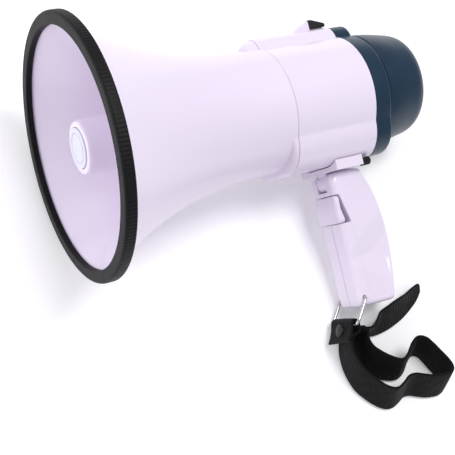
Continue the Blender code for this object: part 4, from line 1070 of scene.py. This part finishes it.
# ------------------------------------------------------------------ handle
@dataclass
class Handle:
    """Folding pistol handle: two moulded halves, trigger, hinge block and volume knob."""

    place: float = 0.157
    half_width: float = 0.013
    depth: float = 0.028
    bulge: float = 0.0065
    length: float = 0.088
    edge: float = 0.0038
    top: float = -0.0470
    setback: float = 0.0065
    gap: float = 0.00015
    trigger: tuple[float, float] = (0.1608, -0.0645)
    trigger_length: float = 0.017
    trigger_half: float = 0.0073
    bail: tuple[float, float] = (0.1605, -0.1285)
    knuckle: float = 0.0084
    tongue_half: float = 0.0053
    knob: tuple[float, float, float] = (0.0185, 0.1783, -0.0449)
    knob_radius: float = 0.0027
    knob_length: float = 0.0065

    @property
    def bottom(self) -> float:
        """The handle's lowest Z."""
        return self.top - self.length

    def sides(self, count: int) -> tuple[Array, Array]:
        """Front and back edges from the top's middle to the bottom's middle, as matching (Y, Z) rows.

        Args:
            count: points on each edge.

        Returns:
            The front edge's and the back edge's points.
        """
        front_y, back_y = self.place, self.place + self.depth
        middle_top, middle_low = (self.place + 0.013, self.top), (self.place + 0.014, self.bottom + 0.0002)
        turns = np.radians(np.linspace(90, 180, 7))
        pivot = (self.place + self.setback, self.top - self.setback)
        knuckle = [(pivot[0] + self.setback * math.cos(t), pivot[1] + self.setback * math.sin(t))
                   for t in turns]
        front = [middle_top, *knuckle, (front_y, self.top - 0.03), (front_y - 0.0002, self.top - 0.06),
                 (front_y - 0.0004, self.bottom + 0.004), (front_y + 0.0014, self.bottom + 0.0010),
                 (front_y + 0.005, self.bottom + 0.0005), middle_low]
        share = np.linspace(0.0, 1.0, 9)
        swell = self.bulge * np.sin(math.pi * share**0.85) ** 0.9
        back = [(back_y - 0.003 * (1 - s) ** 2 + b, self.top - 0.003 - (self.length - 0.0055) * s)
                for s, b in zip(share, swell)]
        back = [middle_top, (back_y - 0.010, self.top - 0.0001), (back_y - 0.0055, self.top - 0.0009), *back,
                (back_y - 0.002, self.bottom + 0.0002), (back_y - 0.007, self.bottom), middle_low]
        return resampled(front, count), resampled(back, count)

    def half(self, name: str, side: int, node: str) -> bpy.types.Object:
        """One half: a wall round the outline, a rounded edge, and a face with its rib and finger facets.

        Args:
            name: the piece's name.
            side: +1 for the half at +X, and -1 for the other.
            node: the CAD node that it stands for.

        Returns:
            The finished half.
        """
        front, back = self.sides(190)
        share = 0.5 - 0.5 * np.cos(np.linspace(0.0, math.pi, 61))
        flat = front[:, None] + (back - front)[:, None] * share[None, :, None]
        outline = np.concatenate([front, back[::-1]])
        inside = nearest(flat.reshape(-1, 2), outline).reshape(flat.shape[:2])
        short = np.clip(self.edge - inside, 0.0, None)
        lift = self.edge - np.sqrt(np.clip(self.edge**2 - short**2, 0.0, None))
        height = self.half_width - lift - self.relief(flat, inside)
        # Beside the seam each edge is drawn in by a small share of the handle's depth.
        seam, rim, drawn_in = self.gap, self.gap + 0.00025, 0.008
        wall_front = [np.column_stack([np.full(len(front), x), front + (back - front) * step])
                      for x, step in ((seam, drawn_in), (rim, 0.0))]
        wall_back = [np.column_stack([np.full(len(front), x), back + (front - back) * step])
                     for x, step in ((rim, 0.0), (seam, drawn_in))]
        face = np.concatenate([height[..., None], flat], axis=-1)
        grid = np.stack([*wall_front, *np.moveaxis(face, 1, 0), *wall_back])
        grid = grid * np.array([side, 1.0, 1.0])
        obj = Piece(name, WHITE_ABS, "handle", [node]).surface(np.moveaxis(grid, 0, 1)).done(sharp=38.0)
        return carve(obj, self.openings(side))

    def relief(self, flat: Array, inside: Array) -> Array:
        """How far the face lies below its highest: a step along the front rib, and two finger facets.

        Args:
            flat: the face's points as (Y, Z).
            inside: their distance from the outline.

        Returns:
            The depth at each point.
        """
        y, z = flat[..., 0], flat[..., 1]
        down = (self.top - z) / self.length
        rib = self.place + 0.0065 + 0.0015 * down
        behind = np.clip((y - rib) / 0.0015, 0.0, 1.0)
        scoop = 0.0009 * behind * behind * (3 - 2 * behind) * np.clip(down / 0.15, 0.0, 1.0)
        upper = (y - (self.place + 0.0225)) * 0.55 - (z - (self.top - 0.037)) * 0.83
        lower = (y - (self.place + 0.0120)) * 0.45 + (z - (self.top - 0.066)) * 0.89
        facet = np.clip(np.minimum(upper, lower), 0.0, 0.012) * 0.16
        fade = np.clip(inside / 0.004, 0.0, 1.0)
        return (scoop + facet) * fade

    def openings(self, side: int) -> list[bpy.types.Object]:
        """Cutters for the knuckle, the trigger's slot, the bail's hole and, on one half, the screw sinks.

        Args:
            side: 1 for the near half, -1 for the far one.

        Returns:
            Closed shapes to cut away.
        """
        pivot = (self.place + self.setback, self.top - self.setback)
        y, z = self.trigger
        half = self.trigger_half
        rear = ((y - 0.0004, z + 0.0032), (y + 0.0038, z - self.trigger_length + 0.0015))
        notch = np.array([(self.place - 0.01, rear[0][1]), *rear, (self.place - 0.01, rear[1][1])])
        low, high = (-0.001, 0.02) if side > 0 else (-0.02, -0.006)
        cuts = [
            cutter(cross_rod(self.knuckle, -self.tongue_half, self.tongue_half, *pivot)),
            cutter(crate((-half, self.place - 0.01, z - self.trigger_length + 0.0015),
                         (half, self.place + 0.008, z + 0.0032))),
            cutter(slice_of(notch, (high - low) / 2, 0.0) + np.array([(high + low) / 2, 0.0, 0.0])),
            cutter(cross_rod(0.0014, -0.02, 0.02, *self.bail, 24)),
        ]
        if side < 0:
            cuts += [cutter(cross_rod(0.0030, -0.02, -self.half_width + 0.0014, sy, sz, 32))
                     for sy, sz in self.screws()]
        return cuts

    def screws(self) -> list[tuple[float, float]]:
        """The three screws' places as (Y, Z)."""
        hinge = self.top - self.setback
        return [(self.place + 0.021, hinge - 0.006), (self.place + 0.010, self.top - 0.052),
                (self.place + 0.019, self.bottom + 0.007)]

    def screw(self, number: int, y: float, z: float) -> bpy.types.Object:
        """A pan-head screw with a cross recess cut in its head.

        Args:
            number: which screw it is.
            y: its axis's Y.
            z: its axis's Z.

        Returns:
            The screw.
        """
        head = -self.half_width + 0.0001
        profile = rounded([(0.0, head, 0.0), (0.0027, head, 0.0006), (0.0027, head + 0.0012, 0.0001),
                           (0.0012, head + 0.0012, 0.0), (0.0012, 0.008, 0.0003), (0.0, 0.008, 0.0)],
                          closed=False)
        angle = np.arange(40) * TURN / 40
        grid = np.stack([profile[:, 1:] + 0.0 * angle, y + profile[:, :1] * np.cos(angle),
                         z + profile[:, :1] * np.sin(angle)], axis=-1)
        obj = Piece(f"screw_{number}", NICKEL, "handle", [f"handle_screw_{number}"]).surface(grid).done()
        long, thin, deep = 0.0016, 0.00035, 0.0008
        slots = [cutter(crate((head - 0.001, y - a, z - b), (head + deep, y + a, z + b)))
                 for a, b in ((long, thin), (thin, long))]
        return carve(obj, slots)

    def rocker(self) -> bpy.types.Object:
        """Trigger: a rocker as wide as the grip, flush with its front, with a travel gap behind it.

        Returns:
            The trigger.
        """
        y, z = self.trigger
        low = z - self.trigger_length + 0.0018
        side = rounded([
            (y - 0.0043, z + 0.0027, 0.0010), (y - 0.0010, z + 0.0027, 0.0006),
            (y - 0.0002, z - 0.006, 0.002),
            (y + 0.0004, low, 0.0010), (y - 0.0046, low, 0.0018), (y - 0.0052, z - 0.006, 0.004)])
        grid = slice_of(side, self.half_width - 0.0003, 0.0026)
        return Piece("trigger_rocker", WHITE_ABS, "trigger_lever", ["trigger"]).surface(grid).done()

    def barrel(self) -> bpy.types.Object:
        """The hinge's round knuckle on the saddle, which fills the grip's slot at every angle.

        Returns:
            The knuckle.
        """
        y, z = self.place + self.setback, self.top - self.setback
        radius, half = self.setback - 0.0003, self.tongue_half - 0.0003
        grid = cross_rod(radius, -half, half, y, z, 72)
        return Piece("hinge_barrel", WHITE_ABS, "housing").surface(grid).done()

    def volume_knob(self) -> bpy.types.Object:
        """Knurled knob: radius = full radius less a fine wave round it, with a domed end.

        Returns:
            The knob.
        """
        x, start, z = self.knob
        profile = rounded([(0.0, start, 0.0), (self.knob_radius, start, 0.0002),
                           (self.knob_radius, start + self.knob_length, 0.0009),
                           (0.0, start + self.knob_length, 0.0)], closed=False, steps=6)
        steps = 24 * 8
        grid = turned(profile, steps)
        angle = np.arange(steps) * TURN / steps
        wave = 1.0 - 0.055 * (0.5 - 0.5 * np.cos(24 * angle)) ** 2
        grid = grid * np.stack([wave, np.ones(steps), wave], axis=-1) + np.array([x, 0.0, z])
        obj = Piece("knob_knurled", BLACK_ABS, "knob", ["volume_knob"]).surface(grid).done()
        end = start + self.knob_length
        pointer = crate((x - 0.0003, end - 0.0005, z), (x + 0.0003, end + 0.001, z + 0.004))
        return carve(obj, [cutter(pointer)])

    def build(self) -> None:
        """Makes the handle's pieces."""
        self.half("grip_near", 1, "handle_left")
        self.half("grip_far", -1, "handle_right")
        for number, (y, z) in enumerate(self.screws(), 1):
            self.screw(number, y, z)
        self.rocker()
        self.barrel()
        cad_copy("hinge_saddle", "hinge_block", WHITE_ABS, "housing", 0.0006)
        self.volume_knob()


def resampled(points: Sequence[tuple[float, float]], count: int) -> Array:
    """A smooth curve through points at even steps of its length.

    Args:
        points: points that the curve passes through.
        count: how many points to give back.

    Returns:
        Points at even steps.
    """
    fine = smooth_line(points, 24)
    length = np.concatenate([[0.0], np.cumsum(np.linalg.norm(np.diff(fine, axis=0), axis=1))])
    even = np.linspace(0.0, length[-1], count)
    return np.column_stack([np.interp(even, length, fine[:, i]) for i in range(fine.shape[1])])


def nearest(points: Array, outline: Array) -> Array:
    """The distance from each point to a closed outline, by its nearest segment.

    Args:
        points: places in the plane.
        outline: the corners of the closed outline.

    Returns:
        One distance for each point.
    """
    ends = np.roll(outline, -1, axis=0)
    run = ends - outline
    size = np.maximum((run**2).sum(axis=1), 1e-14)
    away = points[:, None] - outline[None]
    share = np.clip((away * run).sum(axis=-1) / size, 0.0, 1.0)
    return np.linalg.norm(away - share[..., None] * run, axis=-1).min(axis=1)


# ------------------------------------------------------------------ bail and strap
@dataclass
class Carry:
    """Wire bail, the webbing wrist strap that is threaded on it, its tapered tail and its press stud."""

    wire_radius: float = 0.0011
    strap_width: float = STRAP_WIDTH
    strap_thick: float = 0.0016

    def table(self, points: Array) -> Array:
        """Carries points from the lying axes to the row frame."""
        height = AXES.origin[2] - LYING_HEIGHT
        return np.asarray(points, float) + np.array([AXES.origin[0], AXES.origin[1], height])

    def wire(self) -> bpy.types.Object:
        """A round section carried along the bail's centre line, its bends rounded and its ends domed.

        Returns:
            The bail.
        """
        lean = math.radians(BAIL_LEAN)
        down = np.array([0.0, -math.sin(lean), -math.cos(lean)])
        centre = np.array([0.0, *Handle().bail])
        top, low = BAIL_SPREAD
        bend, ease, dip, entry = 0.0022, 0.0007, 0.0005, 0.0040
        out_and_down = ((top - entry, 0.0), (top - bend, 0.0), (top - ease, dip), (top, bend),
                        ((top + low) / 2, BAIL_REACH / 2), (low, BAIL_REACH - bend),
                        (low - ease, BAIL_REACH - dip), (low - bend, BAIL_REACH))
        legs = [centre + np.array([out, 0.0, 0.0]) + down * drop for out, drop in out_and_down]
        mirrored = [point * np.array([-1.0, 1.0, 1.0]) for point in reversed(legs)]
        path = smooth_line([*legs, legs[-1] * np.array([0.0, 1.0, 1.0]), *mirrored], 8)
        tangent = along(path)
        plane = np.cross(down, [1.0, 0.0, 0.0])
        over = np.broadcast_to(plane / np.linalg.norm(plane), tangent.shape)
        across = np.cross(over, tangent)
        turns = np.arange(24) * TURN / 24
        section = np.column_stack([np.cos(turns), np.sin(turns)]) * self.wire_radius
        body = carried(section, path, across, over)
        dome = np.linspace(0.0, math.pi / 2, 5)[:-1]
        cap_in = np.stack([path[0] - tangent[0] * self.wire_radius * 0.3 * math.cos(t)
                           + (body[0] - path[0]) * math.sin(t) for t in dome])
        cap_out = np.stack([path[-1] + tangent[-1] * self.wire_radius * 0.3 * math.cos(t)
                            + (body[-1] - path[-1]) * math.sin(t) for t in dome[::-1]])
        grid = np.concatenate([cap_in, body, cap_out])
        return Piece("bail_wire", NICKEL, "bail_and_strap", ["wire_bail"]).surface(grid).done(60.0)

    def band(self, name: str, node: str, route: Sequence,
             width_at: Callable[[Array], Array]) -> tuple[bpy.types.Object, float]:
        """A ruled band: a thin section with round selvedges carried along the route on its low edge.

        Args:
            name: the piece's name.
            node: the CAD node that it stands for.
            route: low edge X, Y, height and the lean of the upper edge in X, Y.
            width_at: the band's width at each share of its length.

        Returns:
            The band and its length along its middle.
        """
        rows = smooth_line(route, 14)
        low, lean = rows[:, :3], rows[:, 3:5]
        up = np.sqrt(np.clip(1.0 - (lean**2).sum(axis=1), 0.05, 1.0))
        width_way = np.column_stack([lean, up])
        share = np.linspace(0.0, 1.0, len(rows))
        width = width_at(share)
        middle = low + width_way * width[:, None] / 2
        travel = along(middle)
        face = np.cross(travel, width_way)
        face /= np.linalg.norm(face, axis=1, keepdims=True)
        half = self.strap_thick / 2
        turns = np.linspace(-math.pi / 2, math.pi / 2, 7)
        spread = np.linspace(1.0, -1.0, 17)[1:-1]
        edge = np.column_stack([np.cos(turns) * half, np.sin(turns) * half])
        length = np.concatenate([[0.0], np.cumsum(np.linalg.norm(np.diff(middle, axis=0), axis=1))])
        grids = []
        for sign in (1, -1):
            grids.append((sign * edge[:, 0], sign * edge[:, 1], sign * np.ones(len(edge))))
            grids.append((np.zeros(len(spread)), np.full(len(spread), sign * half), sign * spread))
        out, thick, lever = (np.concatenate([g[k] for g in grids]) for k in range(3))
        reach = (width[:, None] / 2 - half) * lever[None] + out[None]
        swell = 0.00025 * np.sin(length / 0.0105 + 1.0)[:, None] * (1 - lever[None] ** 2)
        grid = (middle[:, None] + reach[..., None] * width_way[:, None]
                + (thick[None] + swell)[..., None] * face[:, None])
        flats = np.stack([np.broadcast_to(length[:, None], reach.shape), reach], axis=-1)
        ends = [np.broadcast_to(middle[i], (1, grid.shape[1], 3)) for i in (0, -1)]
        grid = np.concatenate([ends[0], grid, ends[1]])
        flats = np.concatenate([flats[:1], flats, flats[-1:]])
        piece = Piece(name, WEBBING, "bail_and_strap", [node])
        piece.surface(self.table(grid.reshape(-1, 3)).reshape(grid.shape), uv=flats, held=False)
        return piece.done(50.0), float(length[-1])

    def tail_width(self, share: Array) -> Array:
        """The tail's width: full over its first half, then drawn in to a narrow tip."""
        past_middle = np.clip((share - 0.5) / 0.5, 0.0, None)
        return self.strap_width * (1.0 - TAIL_TAPER * past_middle**1.5)

    def build(self) -> None:
        """Makes the bail, the strap, its tail and its stud, and says what the cloth was cut to."""
        wire = self.wire()
        stud = cad_copy("press_stud", "strap_snap", BLACK_ABS, "bail_and_strap", 0.0002)
        strap, length = self.band("strap_band", "wrist_strap", STRAP_ROUTE,
                                  lambda share: np.full(len(share), self.strap_width))
        tail, tail_length = self.band("strap_blade", "strap_tail", TAIL_ROUTE, self.tail_width)
        LOG.info("strap %.0f mm, tail %.0f mm", length / MM, tail_length / MM)


# ------------------------------------------------------------------ inner parts
@dataclass
class Insides:
    """The CAD solids that stay as they are: driver, cells, electronics, pins and switches."""

    finishes: dict[str, Finish] = field(default_factory=lambda: {
        "driver_baffle": HORN_ABS, "cup_spider": HORN_ABS, "driver_gasket": RUBBER,
        "driver_diaphragm": PHENOLIC, "voice_coil": COPPER, "top_plate": ZINC, "magnet": FERRITE,
        "yoke": ZINC, "battery_tray": BLACK_ABS, "amplifier_board": BOARD, "mic_capsule": ZINC,
        "mic_foam": FOAM, "hinge_pin": NICKEL, "volume_pot": ZINC, "trigger_pin": NICKEL,
        "trigger_spring": NICKEL, "trigger_switch": BLACK_ABS})

    def build(self) -> None:
        """Gives each solid its finish."""
        repeated = {"battery_cell_": SLEEVE, "contact_spring_": NICKEL, "board_chip_": BLACK_ABS}
        for node, solid in frame["nodes"].items():
            finish = self.finishes.get(node)
            for start, other in repeated.items():
                finish = other if node.startswith(start) else finish
            if finish is None:
                continue
            for spot in solid.material_slots:
                spot.material = finish.material()
            LOG.info("%s: %s", node, finish.name)


# ------------------------------------------------------------------ floor, lights and camera
@dataclass
class Studio:
    """A plain pale floor, soft lights and the camera."""

    seat: tuple[float, float, float] = (0.5433, -0.1812, -0.0620)
    forward: tuple[float, float, float] = (-0.89794, 0.44009, -0.00471)
    upright: tuple[float, float, float] = (0.10200, 0.21852, 0.97048)
    lens: float = 78.54
    floor_size: float = 6.0

    def camera(self) -> None:
        """A camera in the held axes, level with its own upright."""
        forward, upright = AXES.turn([self.forward, self.upright])
        right = np.cross(forward, upright)
        right /= np.linalg.norm(right)
        upright = np.cross(right, forward)
        data = bpy.data.cameras.new("studio_camera")
        data.lens = self.lens
        data.sensor_width = 36.0
        data.clip_start = 0.01
        obj = bpy.data.objects.new("studio_camera", data)
        bpy.context.scene.collection.objects.link(obj)
        turn = np.eye(4)
        turn[:3, 0], turn[:3, 1], turn[:3, 2] = right, upright, -forward
        turn[:3, 3] = AXES.place([self.seat])[0]
        obj.matrix_world = Matrix(turn)
        bpy.context.scene.camera = obj

    def floor(self) -> None:
        """A wide white sheet just under the object."""
        half = self.floor_size / 2
        grid = np.array([[(-half, -half), (half, -half)], [(-half, half), (half, half)]])
        points = np.dstack([grid, np.full((2, 2), -0.0004)]).reshape(-1, 3)
        mesh = bpy.data.meshes.new("floor")
        mesh.from_pydata(points, [], [(0, 1, 3, 2)])
        obj = bpy.data.objects.new("floor", mesh)
        bpy.context.scene.collection.objects.link(obj)
        paper = bpy.data.materials.new("Paper white matt")
        paper.use_nodes = True
        shader = paper.node_tree.nodes["Principled BSDF"]
        shader.inputs["Base Color"].default_value = linear("#fbfbfc")
        shader.inputs["Roughness"].default_value = 0.9
        shader.inputs["Specular IOR Level"].default_value = 0.1
        shader.inputs["Emission Color"].default_value = linear("#ffffff")
        shader.inputs["Emission Strength"].default_value = 0.16
        mesh.materials.append(paper)

    def light(self, name: str, place: tuple[float, float, float], size: float, watts: float,
              hex_colour: str = "#ffffff") -> None:
        """A square soft light that faces the object.

        Args:
            name: the light's name.
            place: where it stands, in the row frame.
            size: its side.
            watts: its power.
            hex_colour: its colour.
        """
        data = bpy.data.lights.new(name, "AREA")
        data.shape = "SQUARE"
        data.size = size
        data.energy = watts
        data.color = linear(hex_colour)[:3]
        obj = bpy.data.objects.new(name, data)
        bpy.context.scene.collection.objects.link(obj)
        obj.matrix_world = (Matrix.Translation(place)
                            @ Vector(place).to_track_quat("Z", "Y").to_matrix().to_4x4())

    def build(self) -> None:
        """Sets the camera, the floor, the lights and the sky."""
        self.camera()
        self.floor()
        self.light("key", (-0.2, 0.45, 1.5), 0.55, 13.0)
        self.light("fill", (-0.3, -1.3, 0.6), 0.9, 8.0)
        self.light("rim", (-1.0, -0.6, 0.7), 0.7, 1.5)
        world = bpy.data.worlds.new("soft_room")
        world.use_nodes = True
        sky = world.node_tree.nodes["Background"]
        sky.inputs["Color"].default_value = linear("#f6f4fb")
        sky.inputs["Strength"].default_value = 0.52
        bpy.context.scene.world = world
        bpy.context.scene.view_settings.view_transform = "Standard"


def main() -> None:
    """Builds the megaphone's looks in order."""
    logging.basicConfig(level=logging.INFO, format="%(message)s")
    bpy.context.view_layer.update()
    Studio().build()
    for assembly in (Horn(), RearBody(), Handle(), Carry(), Insides()):
        LOG.info("building %s", type(assembly).__name__)
        assembly.build()


if __name__ == "__main__":
    main()
